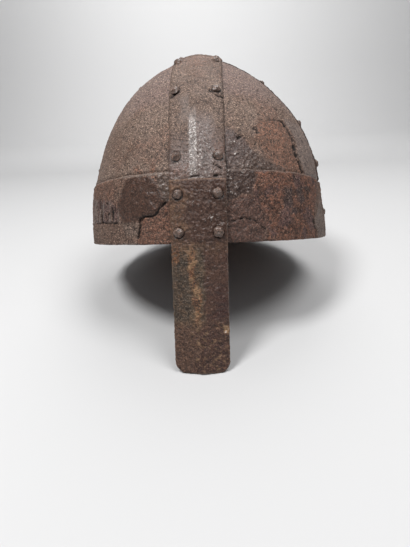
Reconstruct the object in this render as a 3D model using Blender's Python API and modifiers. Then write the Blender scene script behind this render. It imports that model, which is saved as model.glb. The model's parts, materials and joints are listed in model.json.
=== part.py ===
"""Banded iron helmet with a nasal, resting on its nasal tip and the back of its rim.

A front-to-back band and two side bands are riveted over four dome plates, a brow band
goes round the foot of them all, and a nasal plate is riveted on at the front.
The helmet is modelled upright, front towards -Y, with its rim in the plane z = 0.
The nasal hangs below the rim, so the empty helmet_rest then tips it all back until the
nasal's tip and the back of the rim stand level.
"""
import math

import bmesh
import bpy
import numpy as np
from mathutils import Matrix, Vector

# Sizes in metres, the dome's taken on the outer face of the plates.
HALF_WIDTH = 0.104
HALF_DEPTH = 0.1206
DOME_RISE = 0.1634
SIDE_FULLNESS = 2.65
CROWN_FULLNESS = 1.53
CROWN_BLUNTNESS = 0.086

SHEET = 0.0018
CLEARANCE = 0.0003
TAIL_CLEARANCE = 0.0006
OVERLAP = 0.013
JOGGLE_RUN = 0.004

BROW_HEIGHT = 0.0497
CENTRE_FOOT_WIDTH = 0.0375
CENTRE_CROWN_WIDTH = 0.0405
CENTRE_FOOT_LIFT = 0.002
KEEL_RISE = 0.0012
SIDE_BAND_WIDTH = 0.036

NASAL_WIDTH = 0.0362
NASAL_SETBACK = 0.0077
NASAL_DROP = 0.0878
NASAL_CORNER = 0.008

HEAD_RADIUS = 0.0031
HEAD_RISE = 0.0022
TAIL_RADIUS = 0.0030
TAIL_RISE = 0.0011
SHANK_RADIUS = 0.0015
EDGE_DISTANCE = 0.0055
NASAL_RIVET_INSET = 0.0059
NASAL_RIVET_TOP = 0.0095
NASAL_RIVET_FOOT = 0.0079

# Rivet rows, as shares of the turn along a band: from its first row up to the crown rivets
# on the centre band, and from the brow band's edge up to the centre band on a side band.
CENTRE_RIVET_SHARES = (0, 0.38, 0.705)
SIDE_RIVET_SHARES = (0.141, 0.428, 0.745)
FOOT_RIVET_SHARE = 0.463

# How finely the curved sheets and the rivets are divided.
STEP = 0.0098
CROWN_STEP = 0.0068
PLATE_STEP = 0.0138
BROW_ROW_STEP = 0.0125
NASAL_ROW_STEP = 0.0157
BAND_COLUMNS = 5
RIVET_SIDES = 7
HOLE_SIDES = 6

LAYER = SHEET + CLEARANCE
BROW_EDGE = BROW_HEIGHT + 2 * CLEARANCE
NASAL_TOP = BROW_HEIGHT - NASAL_SETBACK
BROW_RIVET_HEIGHTS = (NASAL_RIVET_FOOT, NASAL_TOP - NASAL_RIVET_TOP)
CENTRE_RIVET_START = BROW_EDGE + JOGGLE_RUN + HEAD_RADIUS
SIDE_FOOT_RIVET_HEIGHT = FOOT_RIVET_SHARE * BROW_HEIGHT
SIDE_FOOT_HEIGHT = SIDE_FOOT_RIVET_HEIGHT - 2 * EDGE_DISTANCE
PLATE_FOOT = BROW_RIVET_HEIGHTS[1] + TAIL_RADIUS + 2 * CLEARANCE
SIDE_CLEAR = SIDE_BAND_WIDTH / 2 + SHEET
FRONT, BACK = -1, 1
LEFT, RIGHT = -1, 1


def make_collection(name):
    """A new collection, linked to the scene."""
    collection = bpy.data.collections.new(name)
    bpy.context.scene.collection.children.link(collection)
    return collection


def iron(name, colour, roughness, metallic):
    """A Principled material for one kind of piece."""
    material = bpy.data.materials.new(name)
    material.use_nodes = True
    shader = material.node_tree.nodes["Principled BSDF"]
    shader.inputs["Base Color"].default_value = (*colour, 1.0)
    shader.inputs["Roughness"].default_value = roughness
    shader.inputs["Metallic"].default_value = metallic
    return material


def dome_value(point):
    """Below 1 inside the dome, 1 on it, above 1 outside."""
    x, y, z = point[..., 0], point[..., 1], point[..., 2]
    flat = (x / HALF_WIDTH) ** 2 + (y / HALF_DEPTH) ** 2
    blunt = np.sqrt(flat * (1 - CROWN_BLUNTNESS ** 2) + CROWN_BLUNTNESS ** 2)
    return blunt ** CROWN_FULLNESS + (np.maximum(z, 0) / DOME_RISE) ** SIDE_FULLNESS


def dome_normal(point):
    """Unit normals of the dome, pointing out, from the slope of dome_value."""
    tiny = 1e-6
    slope = [dome_value(point + step) - dome_value(point - step) for step in np.eye(3) * tiny]
    slope = np.stack(slope, axis=-1)
    return slope / np.linalg.norm(slope, axis=-1, keepdims=True)


def dome_hit(start, way):
    """Where rays from inside the dome meet it, found by halving."""
    way = way / np.linalg.norm(way, axis=-1, keepdims=True)
    near = np.zeros(way.shape[:-1] + (1,))
    far = near + 2 * (HALF_WIDTH + HALF_DEPTH + DOME_RISE)
    for _ in range(48):
        middle = (near + far) / 2
        inside = dome_value(start + way * middle)[..., None] < 1
        near = np.where(inside, middle, near)
        far = np.where(inside, far, middle)
    return start + way * near


def share_at(height):
    """How far out the dome stands at a height, as a share of its rim."""
    blunt = (1 - (height / DOME_RISE) ** SIDE_FULLNESS) ** (1 / CROWN_FULLNESS)
    return np.sqrt((blunt ** 2 - CROWN_BLUNTNESS ** 2) / (1 - CROWN_BLUNTNESS ** 2))


def front_angle(height):
    """Elevation, seen from the middle of the rim, of a height on the centre line."""
    return math.atan2(height, HALF_DEPTH * share_at(height))


def side_angle(height):
    """Elevation, seen from the middle of the rim, of a height on the side line."""
    return math.atan2(height, HALF_WIDTH * share_at(height))


def height_at(angle, way):
    """Height of the dome at an elevation seen from the middle of the rim, looking along way."""
    ray = np.array([way[0] * math.cos(angle), way[1] * math.cos(angle), math.sin(angle)])
    return dome_hit(np.zeros(3), ray)[2]


def inner_offset(layer):
    """Distance from the dome to the inner face of a sheet; plates are layer 0."""
    return layer * LAYER - SHEET


def outer_offset(layer):
    """Distance from the dome to the outer face of a sheet."""
    return layer * LAYER


def keel(across):
    """Rise of the fold along the middle of the centre band and the nasal."""
    return KEEL_RISE * np.maximum(0, 1 - np.abs(across) / (CENTRE_FOOT_WIDTH / 2))


def fill_steps(marks, steps):
    """The marks in order, with even steps between them, no longer than each stretch allows."""
    values = [marks[0]]
    limits = np.broadcast_to(steps, len(marks) - 1)
    for low, high, limit in zip(marks, marks[1:], limits):
        count = max(1, math.ceil((high - low) / limit - 1e-6))
        values.extend(low + (high - low) * (i + 1) / count for i in range(count))
    return np.array(values)


def sheet_piece(name, inner, material, closed=False):
    """An iron sheet from the grid of its inner face: rows of points along it."""
    rows, columns = inner.shape[:2]
    work = bmesh.new()
    verts = [[work.verts.new(point) for point in row] for row in inner]
    for i in range(rows - 1):
        for j in range(columns if closed else columns - 1):
            right = (j + 1) % columns
            work.faces.new((verts[i][j], verts[i][right], verts[i + 1][right], verts[i + 1][j]))
    work.normal_update()
    work.faces.ensure_lookup_table()
    middle = work.faces[len(work.faces) // 2]
    if middle.normal.dot(middle.calc_center_median() * Vector((1, 1, 0.5))) < 0:
        bmesh.ops.reverse_faces(work, faces=work.faces[:])
    mesh = bpy.data.meshes.new(name)
    work.to_mesh(mesh)
    work.free()
    mesh.materials.append(material)
    piece = bpy.data.objects.new(name, mesh)
    parts.objects.link(piece)
    piece.parent = rest
    wall = piece.modifiers.new("wall", "SOLIDIFY")
    wall.thickness = SHEET
    wall.offset = 1
    wall.use_even_offset = True
    return piece


def band_grid(line, angles, across, layers, keeled=False):
    """Inner face of a band: rays fan out from each line across it, within its width.

    line gives the ray's start and way for an angle and a distance across; layers gives
    the layer at each angle.
    """
    grid = np.zeros((len(angles), len(across[0]), 3))
    for row, angle in enumerate(angles):
        starts, ways = line(angle, np.array(across[row]))
        points = dome_hit(starts, ways)
        offset = inner_offset(layers[row]) + (keel(across[row]) if keeled else 0)
        grid[row] = points + dome_normal(points) * np.reshape(offset, (-1, 1))
    return grid


def centre_line(angle, across):
    """Rays of the centre band, which runs from the front rim over the crown to the back."""
    zero = np.zeros_like(across)
    starts = np.stack([across, zero, zero], axis=-1)
    ways = np.stack([zero, zero - math.cos(angle), zero + math.sin(angle)], axis=-1)
    return starts, ways


def side_line(side):
    """Rays of a side band, on the side given."""
    def line(angle, across):
        zero = np.zeros_like(across)
        starts = np.stack([zero, across, zero], axis=-1)
        ways = np.stack([zero + side * math.cos(angle), zero, zero + math.sin(angle)], axis=-1)
        return starts, ways
    return line


def centre_half_width(angle):
    """Half the centre band's width, which grows from its feet to the crown."""
    share = 1 - abs(angle - math.pi / 2) / (math.pi / 2)
    return (CENTRE_FOOT_WIDTH + (CENTRE_CROWN_WIDTH - CENTRE_FOOT_WIDTH) * share) / 2


def build_centre_band():
    """The front-to-back band, stepping over the brow band and over the side bands."""
    marks = [front_angle(CENTRE_FOOT_LIFT), front_angle(BROW_EDGE), front_angle(BROW_EDGE + JOGGLE_RUN),
             math.atan2(DOME_RISE, SIDE_CLEAR + JOGGLE_RUN), math.atan2(DOME_RISE, SIDE_CLEAR),
             math.pi / 2]
    layers = [2, 2, 1, 1, 2, 2]
    steps = [STEP / HALF_DEPTH] * 4 + [CROWN_STEP / DOME_RISE]
    marks += [math.pi - mark for mark in reversed(marks[:-1])]
    layers += reversed(layers[:-1])
    steps += reversed(steps)
    angles = fill_steps(marks, steps)
    widths = [np.linspace(-1, 1, BAND_COLUMNS) * centre_half_width(angle) for angle in angles]
    grid = band_grid(centre_line, angles, widths, np.interp(angles, marks, layers), keeled=True)
    return sheet_piece("centre_band", grid, band_iron)


def build_side_band(side, name):
    """A side band, from under the centre band down behind the brow band."""
    reach = CENTRE_CROWN_WIDTH / 2 - OVERLAP
    shoulder = math.atan2(DOME_RISE, HALF_WIDTH / 2)
    marks = [side_angle(SIDE_FOOT_HEIGHT), shoulder, math.atan2(DOME_RISE, reach)]
    angles = fill_steps(marks, [STEP / HALF_WIDTH, CROWN_STEP / DOME_RISE])
    widths = [np.linspace(-1, 1, BAND_COLUMNS) * SIDE_BAND_WIDTH / 2 for _ in angles]
    grid = band_grid(side_line(side), angles, widths, np.ones(len(angles)))
    return sheet_piece(name, grid, side_iron)


def build_brow_band():
    """The ring round the foot of the dome, stepping over the feet of the side bands."""
    joggle = (SIDE_CLEAR, SIDE_CLEAR + JOGGLE_RUN)
    corners = [math.acos(y / HALF_DEPTH) for y in (joggle[1], joggle[0], -joggle[0], -joggle[1])]
    marks = [0, *corners, math.pi]
    marks += [math.pi * 2 - mark for mark in reversed(marks[:-1])]
    headings = fill_steps(marks, STEP / HALF_WIDTH)[:-1]
    heights = fill_steps([0, BROW_HEIGHT], BROW_ROW_STEP)
    grid = np.zeros((len(heights), len(headings), 3))
    for row, height in enumerate(heights):
        share = share_at(height)
        out = [HALF_WIDTH * share * np.sin(headings), -HALF_DEPTH * share * np.cos(headings)]
        points = np.stack([*out, np.full_like(headings, height)], axis=-1)
        layer = np.interp(np.abs(points[:, 1]), joggle, (2, 1))
        grid[row] = points + dome_normal(points) * inner_offset(layer)[:, None]
    return sheet_piece("brow_band", grid, brow_iron, closed=True)


def build_plate(side, end, name):
    """One dome plate, its edges tucked under the centre, side and brow bands."""
    beside = CENTRE_FOOT_WIDTH / 2 - OVERLAP
    before = SIDE_BAND_WIDTH / 2 - OVERLAP
    inset = (beside + CLEARANCE + EDGE_DISTANCE / 2, before + EDGE_DISTANCE / 2)
    corner = math.hypot(inset[0] / HALF_WIDTH, inset[1] / HALF_DEPTH)
    top = dome_hit(np.zeros(3), np.array([0, corner * HALF_DEPTH, DOME_RISE]))[2]
    marks = [front_angle(PLATE_FOOT), front_angle(top)]
    grid = []
    columns = math.ceil(math.pi / 2 * HALF_DEPTH / PLATE_STEP)
    for angle in fill_steps(marks, PLATE_STEP / HALF_DEPTH):
        height = height_at(angle, (0, end))
        share = share_at(height)
        first = math.asin(beside / (HALF_WIDTH * share))
        last = math.acos(before / (HALF_DEPTH * share))
        headings = np.linspace(first, last, columns)
        points = np.stack([side * HALF_WIDTH * share * np.sin(headings),
                           end * HALF_DEPTH * share * np.cos(headings),
                           np.full_like(headings, height)], axis=-1)
        grid.append(points + dome_normal(points) * inner_offset(0))
    return sheet_piece(name, np.array(grid), plate_iron)


def build_nasal():
    """The nasal: over the centre band at the brow, then straight down to a round tip."""
    upper = fill_steps([0, NASAL_TOP], STEP)[::-1]
    straight = -fill_steps([0, NASAL_DROP - NASAL_CORNER], NASAL_ROW_STEP)[1:]
    turns = np.radians([30, 60, 90])
    rounded = -NASAL_DROP + NASAL_CORNER * (1 - np.sin(turns))
    heights = np.concatenate([upper, straight, rounded])
    halves = np.full(len(heights), NASAL_WIDTH / 2)
    halves[-len(turns):] -= NASAL_CORNER * (1 - np.cos(turns))
    grid = []
    for height, half in zip(heights, halves):
        across = np.linspace(-1, 1, BAND_COLUMNS) * half
        level = max(height, 0)
        start = np.stack([across, across * 0, across * 0 + level], axis=-1)
        points = dome_hit(start, np.tile([0.0, FRONT, 0.0], (BAND_COLUMNS, 1)))
        offset = inner_offset(3) + keel(across)
        points = points + dome_normal(points) * offset[:, None]
        points[:, 2] += height - level
        grid.append(points)
    return sheet_piece("nasal", np.array(grid), nasal_iron)


def rivet_profile(grip):
    """Half the outline of a rivet, from the top of its head to the foot of its tail.

    The head sits on z = 0 and the sheets it grips lie below, grip thick in all.
    """
    tail = -grip - CLEARANCE - TAIL_CLEARANCE
    return [(0, HEAD_RISE), (0.62 * HEAD_RADIUS, 0.78 * HEAD_RISE), (HEAD_RADIUS, 0),
            (SHANK_RADIUS, 0), (SHANK_RADIUS, tail), (TAIL_RADIUS, tail), (0, tail - TAIL_RISE)]


def build_rivet(name, point, lowest, highest, across=None):
    """A rivet through the sheets from layer lowest to layer highest at a point of the dome."""
    normal = dome_normal(point)
    fold = 0 if across is None else float(keel(across))
    grip = outer_offset(highest) - inner_offset(lowest) + fold
    seat = point + normal * (outer_offset(highest) + fold + CLEARANCE)
    place = Matrix.Translation(seat) @ Vector(normal).to_track_quat("Z", "Y").to_matrix().to_4x4()
    mesh = bpy.data.meshes.new(name)
    outline = rivet_profile(grip)
    mesh.from_pydata([(x, 0, z) for x, z in outline], [(i, i + 1) for i in range(len(outline) - 1)], [])
    mesh.materials.append(rivet_iron)
    rivet = bpy.data.objects.new(name, mesh)
    parts.objects.link(rivet)
    rivet.parent = rest
    rivet.matrix_local = place
    turn = rivet.modifiers.new("turn", "SCREW")
    turn.steps = RIVET_SIDES
    turn.render_steps = RIVET_SIDES
    turn.use_merge_vertices = True
    turn.merge_threshold = 0.00001
    holes.append((place, grip))
    return rivet


def straight_out(across, height, way):
    """The point of the dome straight out from the middle plane, across it and at a height."""
    start = np.array([across * abs(way[1]), across * abs(way[0]), height])
    return dome_hit(start, np.array(way, dtype=float))


def build_brow_rivets(side, side_name, end, end_name, top):
    """The rivets of the nasal, or those at the back of the brow band."""
    across = side * (NASAL_WIDTH / 2 - NASAL_RIVET_INSET)
    for i, height in enumerate(BROW_RIVET_HEIGHTS):
        point = straight_out(across, height, (0, end, 0))
        build_rivet(f"rivet_brow_{end_name}_{side_name}_{i + 1}", point, 1, top, across)


def build_centre_rivets(side, side_name, end, end_name):
    """The rivets along one edge of the centre band, from the brow band up to the crown."""
    along = SIDE_BAND_WIDTH / 2 - EDGE_DISTANCE
    first = front_angle(CENTRE_RIVET_START)
    last = math.atan2(DOME_RISE, along)
    for i, share in enumerate(CENTRE_RIVET_SHARES):
        angle = first + (last - first) * share
        across = side * (centre_half_width(angle) - EDGE_DISTANCE)
        point = straight_out(across, height_at(angle, (0, end)), (0, end, 0))
        build_rivet(f"rivet_centre_{end_name}_{side_name}_{i + 1}", point, 0, 1, across)
    across = side * (CENTRE_CROWN_WIDTH / 2 - EDGE_DISTANCE)
    point = dome_hit(np.array([across, end * along, 0]), np.array([0.0, 0.0, 1.0]))
    build_rivet(f"rivet_crown_{end_name}_{side_name}", point, 0, 2, across)


def build_side_rivets(side, side_name, end, end_name):
    """The rivets along one edge of a side band, and the one in its foot."""
    along = end * (SIDE_BAND_WIDTH / 2 - EDGE_DISTANCE)
    first = side_angle(BROW_HEIGHT)
    last = math.atan2(DOME_RISE, CENTRE_CROWN_WIDTH / 2)
    for i, share in enumerate(SIDE_RIVET_SHARES):
        height = height_at(first + (last - first) * share, (side, 0))
        point = straight_out(along, height, (side, 0, 0))
        build_rivet(f"rivet_side_{side_name}_{end_name}_{i + 1}", point, 0, 1)
    point = straight_out(along, SIDE_FOOT_RIVET_HEIGHT, (side, 0, 0))
    build_rivet(f"rivet_foot_{side_name}_{end_name}", point, 1, 2)


def build_rivets():
    """Every rivet, in rows along the bands."""
    for end, end_name, top in ((FRONT, "front", 3), (BACK, "back", 2)):
        for side, side_name in ((LEFT, "left"), (RIGHT, "right")):
            build_brow_rivets(side, side_name, end, end_name, top)
            build_centre_rivets(side, side_name, end, end_name)
            build_side_rivets(side, side_name, end, end_name)


def punch(sheets):
    """Cut the rivets' clearance holes through every sheet they pass."""
    work = bmesh.new()
    for place, grip in holes:
        depth = grip + 2 * HEAD_RISE
        middle = place @ Matrix.Translation((0, 0, -grip / 2))
        bmesh.ops.create_cone(work, cap_ends=True, segments=HOLE_SIDES, depth=depth, matrix=middle,
                              radius1=SHANK_RADIUS + CLEARANCE, radius2=SHANK_RADIUS + CLEARANCE)
    mesh = bpy.data.meshes.new("rivet_holes")
    work.to_mesh(mesh)
    work.free()
    cutter = bpy.data.objects.new("rivet_holes", mesh)
    cutters.objects.link(cutter)
    cutter.parent = rest
    cutter.hide_render = True
    cutter.display_type = "WIRE"
    for sheet in sheets:
        cut = sheet.modifiers.new("holes", "BOOLEAN")
        cut.operation = "DIFFERENCE"
        cut.object = cutter


def tip_back():
    """Tip the helmet so that its nasal tip and the back of its rim stand level."""
    nasal_back = HALF_DEPTH + inner_offset(3)
    rim_back = HALF_DEPTH + outer_offset(1)
    rest.rotation_euler.x = -math.atan2(NASAL_DROP, nasal_back + rim_back)


def stand_over_origin():
    """Move the helmet so that it stands on z = 0 with its middle over the origin."""
    bpy.context.view_layer.update()
    scene = bpy.context.evaluated_depsgraph_get()
    corners = []
    for piece in parts.objects:
        if piece.type == "MESH":
            shown = piece.evaluated_get(scene)
            corners += [shown.matrix_world @ vert.co for vert in shown.data.vertices]
    corners = np.array(corners)
    low = corners.min(axis=0)
    high = corners.max(axis=0)
    rest.location = (-(low[0] + high[0]) / 2, -(low[1] + high[1]) / 2, -low[2])


def shade(piece):
    """Smooth faces, with a crease wherever they meet at a sharp angle."""
    piece.data.shade_smooth()
    piece.data.set_sharp_from_angle(angle=math.radians(40))


for old in list(bpy.data.objects):
    bpy.data.objects.remove(old, do_unlink=True)

parts = make_collection("banded_helmet")
cutters = make_collection("cutters")
plate_iron = iron("plate_iron", (0.115, 0.086, 0.068), 0.62, 0.35)
side_iron = iron("side_band_iron", (0.105, 0.080, 0.066), 0.60, 0.35)
band_iron = iron("centre_band_iron", (0.098, 0.074, 0.062), 0.58, 0.35)
brow_iron = iron("brow_band_iron", (0.085, 0.058, 0.046), 0.58, 0.35)
nasal_iron = iron("nasal_iron", (0.072, 0.050, 0.042), 0.52, 0.35)
rivet_iron = iron("rivet_iron", (0.060, 0.048, 0.042), 0.50, 0.40)

rest = bpy.data.objects.new("helmet_rest", None)
parts.objects.link(rest)
holes = []

sheets = [build_brow_band(), build_centre_band(), build_nasal()]
sheets.append(build_side_band(LEFT, "side_band_left"))
sheets.append(build_side_band(RIGHT, "side_band_right"))
sheets.append(build_plate(LEFT, FRONT, "plate_front_left"))
sheets.append(build_plate(RIGHT, FRONT, "plate_front_right"))
sheets.append(build_plate(LEFT, BACK, "plate_back_left"))
sheets.append(build_plate(RIGHT, BACK, "plate_back_right"))
build_rivets()
punch(sheets)
for piece in sheets:
    shade(piece)
tip_back()
stand_over_origin()
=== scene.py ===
import itertools
import json
import math

import bmesh
import bpy
import numpy as np
from mathutils import Matrix, Vector


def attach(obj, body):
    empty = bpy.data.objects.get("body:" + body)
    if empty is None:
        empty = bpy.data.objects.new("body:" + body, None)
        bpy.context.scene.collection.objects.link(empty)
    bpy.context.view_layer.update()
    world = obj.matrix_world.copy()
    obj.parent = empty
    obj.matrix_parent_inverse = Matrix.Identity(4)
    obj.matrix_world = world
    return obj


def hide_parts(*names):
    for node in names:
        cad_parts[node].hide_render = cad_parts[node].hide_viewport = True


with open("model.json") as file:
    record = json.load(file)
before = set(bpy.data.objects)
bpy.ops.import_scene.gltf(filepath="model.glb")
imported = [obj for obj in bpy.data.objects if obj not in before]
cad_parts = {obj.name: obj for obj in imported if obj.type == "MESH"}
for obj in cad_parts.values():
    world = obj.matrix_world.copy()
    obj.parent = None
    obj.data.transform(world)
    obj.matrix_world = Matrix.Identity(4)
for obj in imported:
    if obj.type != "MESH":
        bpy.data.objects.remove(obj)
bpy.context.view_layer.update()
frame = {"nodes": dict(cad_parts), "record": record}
print("frame loaded:", len(frame["nodes"]), "nodes")

# The helmet's own form, in metres. It stands upright here, front towards -Y and rim at z = 0.
helmet = {
    "halfWidth": 0.104,         # the dome, taken on the outer face of its plates
    "halfDepth": 0.1206,
    "rise": 0.1634,
    "sideFullness": 2.65,
    "crownFullness": 1.53,
    "bluntness": 0.086,
    "sheet": 0.0018,
    "gap": 0.0003,
    "joggle": 0.004,            # run over which a sheet steps over the one below
    "browHeight": 0.0497,
    "centreFoot": 0.0375,
    "centreCrown": 0.0405,
    "centreLift": 0.002,
    "sideWidth": 0.036,
    "nasalWidth": 0.0362,
    "nasalTop": 0.042,
    "nasalDrop": 0.0878,
    "overlap": 0.013,
}
knocks = {    # what has put the whole stack of sheets out of true
    "lean": 0.0038,                             # the crown, this far to the left
    "sway": 0.0009,                             # the flanks below it, this far to the right
    "swayHeights": (0.052, 0.07, 0.1, 0.13),    # where it starts, is full, fades and ends
    "swayAcross": (0.035, 0.085),
    "dent": 0.0021,                             # how far the brow's right side is pressed in
    "dentHeights": (0.008, 0.034, 0.048, 0.0525),
    "dentAcross": (0.06, 0.098),
    "dentBehind": 0.05,                         # it fades out this far behind the middle
}
layer = helmet["sheet"] + helmet["gap"]
browEdge = helmet["browHeight"] + 2 * helmet["gap"]
sideClear = helmet["sideWidth"] / 2 + helmet["sheet"]


def helmetPlace():    # turn and shift from the upright helmet to where it rests, read off its rim mount
    rim = next(mount for mount in frame["record"]["mounts"] if mount["name"] == "brow_rim")
    up = -Vector(rim["axis"])
    side = Vector((1, 0, 0))
    turn = Matrix((side, up.cross(side), up)).transposed()
    foot = Vector((0, helmet["halfDepth"] + helmet["gap"] + helmet["sheet"] / 2, 0))
    return np.array(turn), np.array(Vector(rim["pos_m"]) - turn @ foot)


restTurn, restShift = helmetPlace()


def toRest(points):    # from the upright helmet to its resting place
    return points @ restTurn.T + restShift


def ramp(value, low, high):    # 0 below low, 1 above high, eased between
    share = np.clip((value - low) / (high - low), 0, 1)
    return share * share * (3 - 2 * share)


def between(value, start, full, fade, end):    # 1 from full to fade, eased to 0 at start and end
    return ramp(value, start, full) * ramp(-value, -end, -fade)


def leaning(points):
    across, height = points[..., 0], points[..., 2]
    share = np.clip(height, 0, None) / helmet["rise"]
    swayed = between(height, *knocks["swayHeights"]) * ramp(np.abs(across), *knocks["swayAcross"])
    dented = between(height, *knocks["dentHeights"]) * ramp(across, *knocks["dentAcross"])
    dented = dented * ramp(-points[..., 1], -knocks["dentBehind"], 0)
    shift = np.zeros_like(points)
    shift[..., 0] = -knocks["lean"] * share ** 2 + knocks["sway"] * swayed - knocks["dent"] * dented
    return points + shift


def domeValue(points):    # below 1 inside the dome, 1 on it
    flat = (points[..., 0] / helmet["halfWidth"]) ** 2 + (points[..., 1] / helmet["halfDepth"]) ** 2
    blunt = np.sqrt(flat * (1 - helmet["bluntness"] ** 2) + helmet["bluntness"] ** 2)
    height = np.maximum(points[..., 2], 0) / helmet["rise"]
    return blunt ** helmet["crownFullness"] + height ** helmet["sideFullness"]


def domeNormal(points):
    tiny = 1e-6
    slope = [domeValue(points + step) - domeValue(points - step) for step in np.eye(3) * tiny]
    slope = np.stack(slope, axis=-1)
    return slope / np.linalg.norm(slope, axis=-1, keepdims=True)


def domeHit(start, way):    # where rays from inside meet the dome
    way = way / np.linalg.norm(way, axis=-1, keepdims=True)
    near = np.zeros(way.shape[:-1] + (1,))
    far = near + 0.5    # well past the dome
    for _ in range(34):    # halved until it is far finer than any sheet
        middle = (near + far) / 2
        within = domeValue(start + way * middle)[..., None] < 1
        near = np.where(within, middle, near)
        far = np.where(within, far, middle)
    return start + way * near


def shareAt(height):    # how far out the dome stands at a height, as a share of its rim
    blunt = (1 - (height / helmet["rise"]) ** helmet["sideFullness"]) ** (1 / helmet["crownFullness"])
    return np.sqrt((blunt ** 2 - helmet["bluntness"] ** 2) / (1 - helmet["bluntness"] ** 2))


def frontAngle(height):
    return math.atan2(height, helmet["halfDepth"] * shareAt(height))


def sideAngle(height):
    return math.atan2(height, helmet["halfWidth"] * shareAt(height))


def heightAt(angle, way):
    ray = np.array([way[0] * math.cos(angle), way[1] * math.cos(angle), math.sin(angle)])
    return domeHit(np.zeros(3), ray)[2]


def centreHalf(angle):    # half the centre band's width at an elevation seen from the rim's middle
    share = 1 - np.abs(angle - math.pi / 2) / (math.pi / 2)
    return (helmet["centreFoot"] + (helmet["centreCrown"] - helmet["centreFoot"]) * share) / 2


# Noise in plain numpy, so that every run gives the same iron.
def lattice(cell, seed):    # one number from 0 to 1 for each cell of a grid
    mixed = cell[..., 0] * 73856093 + cell[..., 1] * 19349663 + cell[..., 2] * 83492791 + seed * 26544357
    mixed = ((mixed ^ (mixed >> 13)) * 1274126177) & 0x7FFFFFFF
    mixed = ((mixed ^ (mixed >> 15)) * 668265263) & 0x7FFFFFFF
    return ((mixed ^ (mixed >> 12)) & 0xFFFFF) / 0xFFFFF


def softNoise(points, seed):    # -1 to 1, one wave about two units long
    base = np.floor(points).astype(np.int64)
    part = points - base
    part = part * part * (3 - 2 * part)
    total = 0
    for corner in itertools.product((0, 1), repeat=3):
        weight = np.prod(np.where(corner, part, 1 - part), axis=-1)
        total = total + weight * lattice(base + corner, seed)
    return total * 2 - 1


noiseTurn = np.array(Matrix.Rotation(0.9, 3, (0.3, 1, 0.5)))


def clouds(points, size, octaves, seed):
    total = 0
    strength = 1
    weight = 0
    spot = points / size
    for octave in range(octaves):
        spot = spot @ noiseTurn.T
        total = total + strength * softNoise(spot, seed + octave * 17)
        weight += strength
        strength *= 0.6
        spot = spot * 2.03
    return total / weight


def cells(points, size, seed):    # distance to the nearest scattered spot, in sizes, and its number
    spot = points / size
    base = np.floor(spot).astype(np.int64)
    best = np.full(points.shape[:-1], 9.0)
    own = np.zeros(points.shape[:-1])
    for step in itertools.product((-1, 0, 1), repeat=3):
        cell = base + step
        there = cell + np.stack([lattice(cell, seed + k) for k in range(3)], axis=-1)
        distance = np.linalg.norm(spot - there, axis=-1)
        own = np.where(distance < best, lattice(cell, seed + 3), own)
        best = np.minimum(best, distance)
    return best, own


def frontSpots(points):    # what the front view sees: across and up, in millimetres
    return np.stack([points[..., 0], points[..., 2]], axis=-1) * 1000


def lineDistance(spots, corners, loop=False):    # millimetres to a bent line
    corners = np.array(corners, float)
    ends = list(zip(corners, np.roll(corners, -1, axis=0)))
    best = np.full(spots.shape[:-1], 999.0)
    for first, last in ends if loop else ends[:-1]:
        run = last - first
        share = np.clip(((spots - first) @ run) / (run @ run), 0, 1)
        best = np.minimum(best, np.linalg.norm(spots - first - share[..., None] * run, axis=-1))
    return best


def rightOf(spots, corners):    # millimetres to the right of a line that runs upwards
    across, up = zip(*corners)
    return spots[..., 0] - np.interp(spots[..., 1], up, across)


def insideOutline(spots, corners):    # millimetres inside an outline, below 0 outside it
    crossings = np.zeros(spots.shape[:-1], int)
    corners = np.array(corners, float)
    for first, last in zip(corners, np.roll(corners, -1, axis=0)):
        if first[1] == last[1]:
            continue
        between = (first[1] > spots[..., 1]) != (last[1] > spots[..., 1])
        reach = first[0] + (spots[..., 1] - first[1]) * (last[0] - first[0]) / (last[1] - first[1])
        crossings += between & (spots[..., 0] < reach)
    distance = lineDistance(spots, corners, loop=True)
    return np.where(crossings % 2 == 1, distance, -distance)


# Seats of the rivets. The centre band's sizes are here, because its steps and fold lift them.
centreLook = {
    "cell": 0.00066,
    "backCell": 0.0011,
    "ratio": 6,
    "keel": 0.0012,
    "crest": 0.0009,
    "crestReach": 0.0030,
    "crestTip": 0.0005,         # how blunt the crest's own edge is
    "beaten": 0.62,             # share of the fold that is flattened at the crown
    "beatenFrom": (0.125, 0.155),    # heights where that starts and is full
    "arcRadius": 0.143,         # mean distance from the rim's middle, for steps along the band
    "ragged": 0.0005,
    "edgeReach": 0.0036,
    "edgeDrop": 0.0013,
    "edgeDropLeft": 1.3,        # share of that drop on the left edge
    "footJoggle": 0.012,
    "crustHeight": 0.0008,
    "crackDepth": 0.0009,
}
rivetLook = {
    "headRadius": 0.0034,
    "headRise": 0.0027,
    "tailRadius": 0.003,
    "tailRise": 0.0011,
    "shankRadius": 0.0015,
    "edgeDistance": 0.0055,
    "nasalInset": 0.0059,
    "nasalTop": 0.0095,
    "nasalFoot": 0.0079,
    "centreShares": (0, 0.38, 0.705),
    "sideShares": (0.141, 0.428, 0.745),
    "footShare": 0.463,
    "around": 22,
    "down": 26,
    "wear": 0.0007,
    "sink": 0.0001,             # how far a head has rusted into its sheet
    "collar": 0.0006,           # rust heaped round each head
    "shade": (0.0002, 0, -0.0007),    # how far the painted shadow ring sits below the head's middle
    "profileEnds": (0.54, 0.6, 0.68, 0.73),    # of head, underside, shank and flare, as shares
    "sizes": (0.92, 1.08),
    "wearScale": 420,
    "marks": {"rust": 0.25, "mauve": 0.0, "dark": 0.15, "pale": 0.2, "gloss": 0.75},
}
rivetRows = {    # each row and the layers that it grips
    "brow_rivets_front": 3, "brow_rivets_back": 2, "centre_rivets": 2, "crown_rivets": 3,
    "side_rivets": 2, "foot_rivets": 2,
}


def stepUp(value, start, run=helmet["joggle"]):    # 1 up to start, 0 a run further on
    return 1 - ramp(value, start, start + run)


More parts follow.
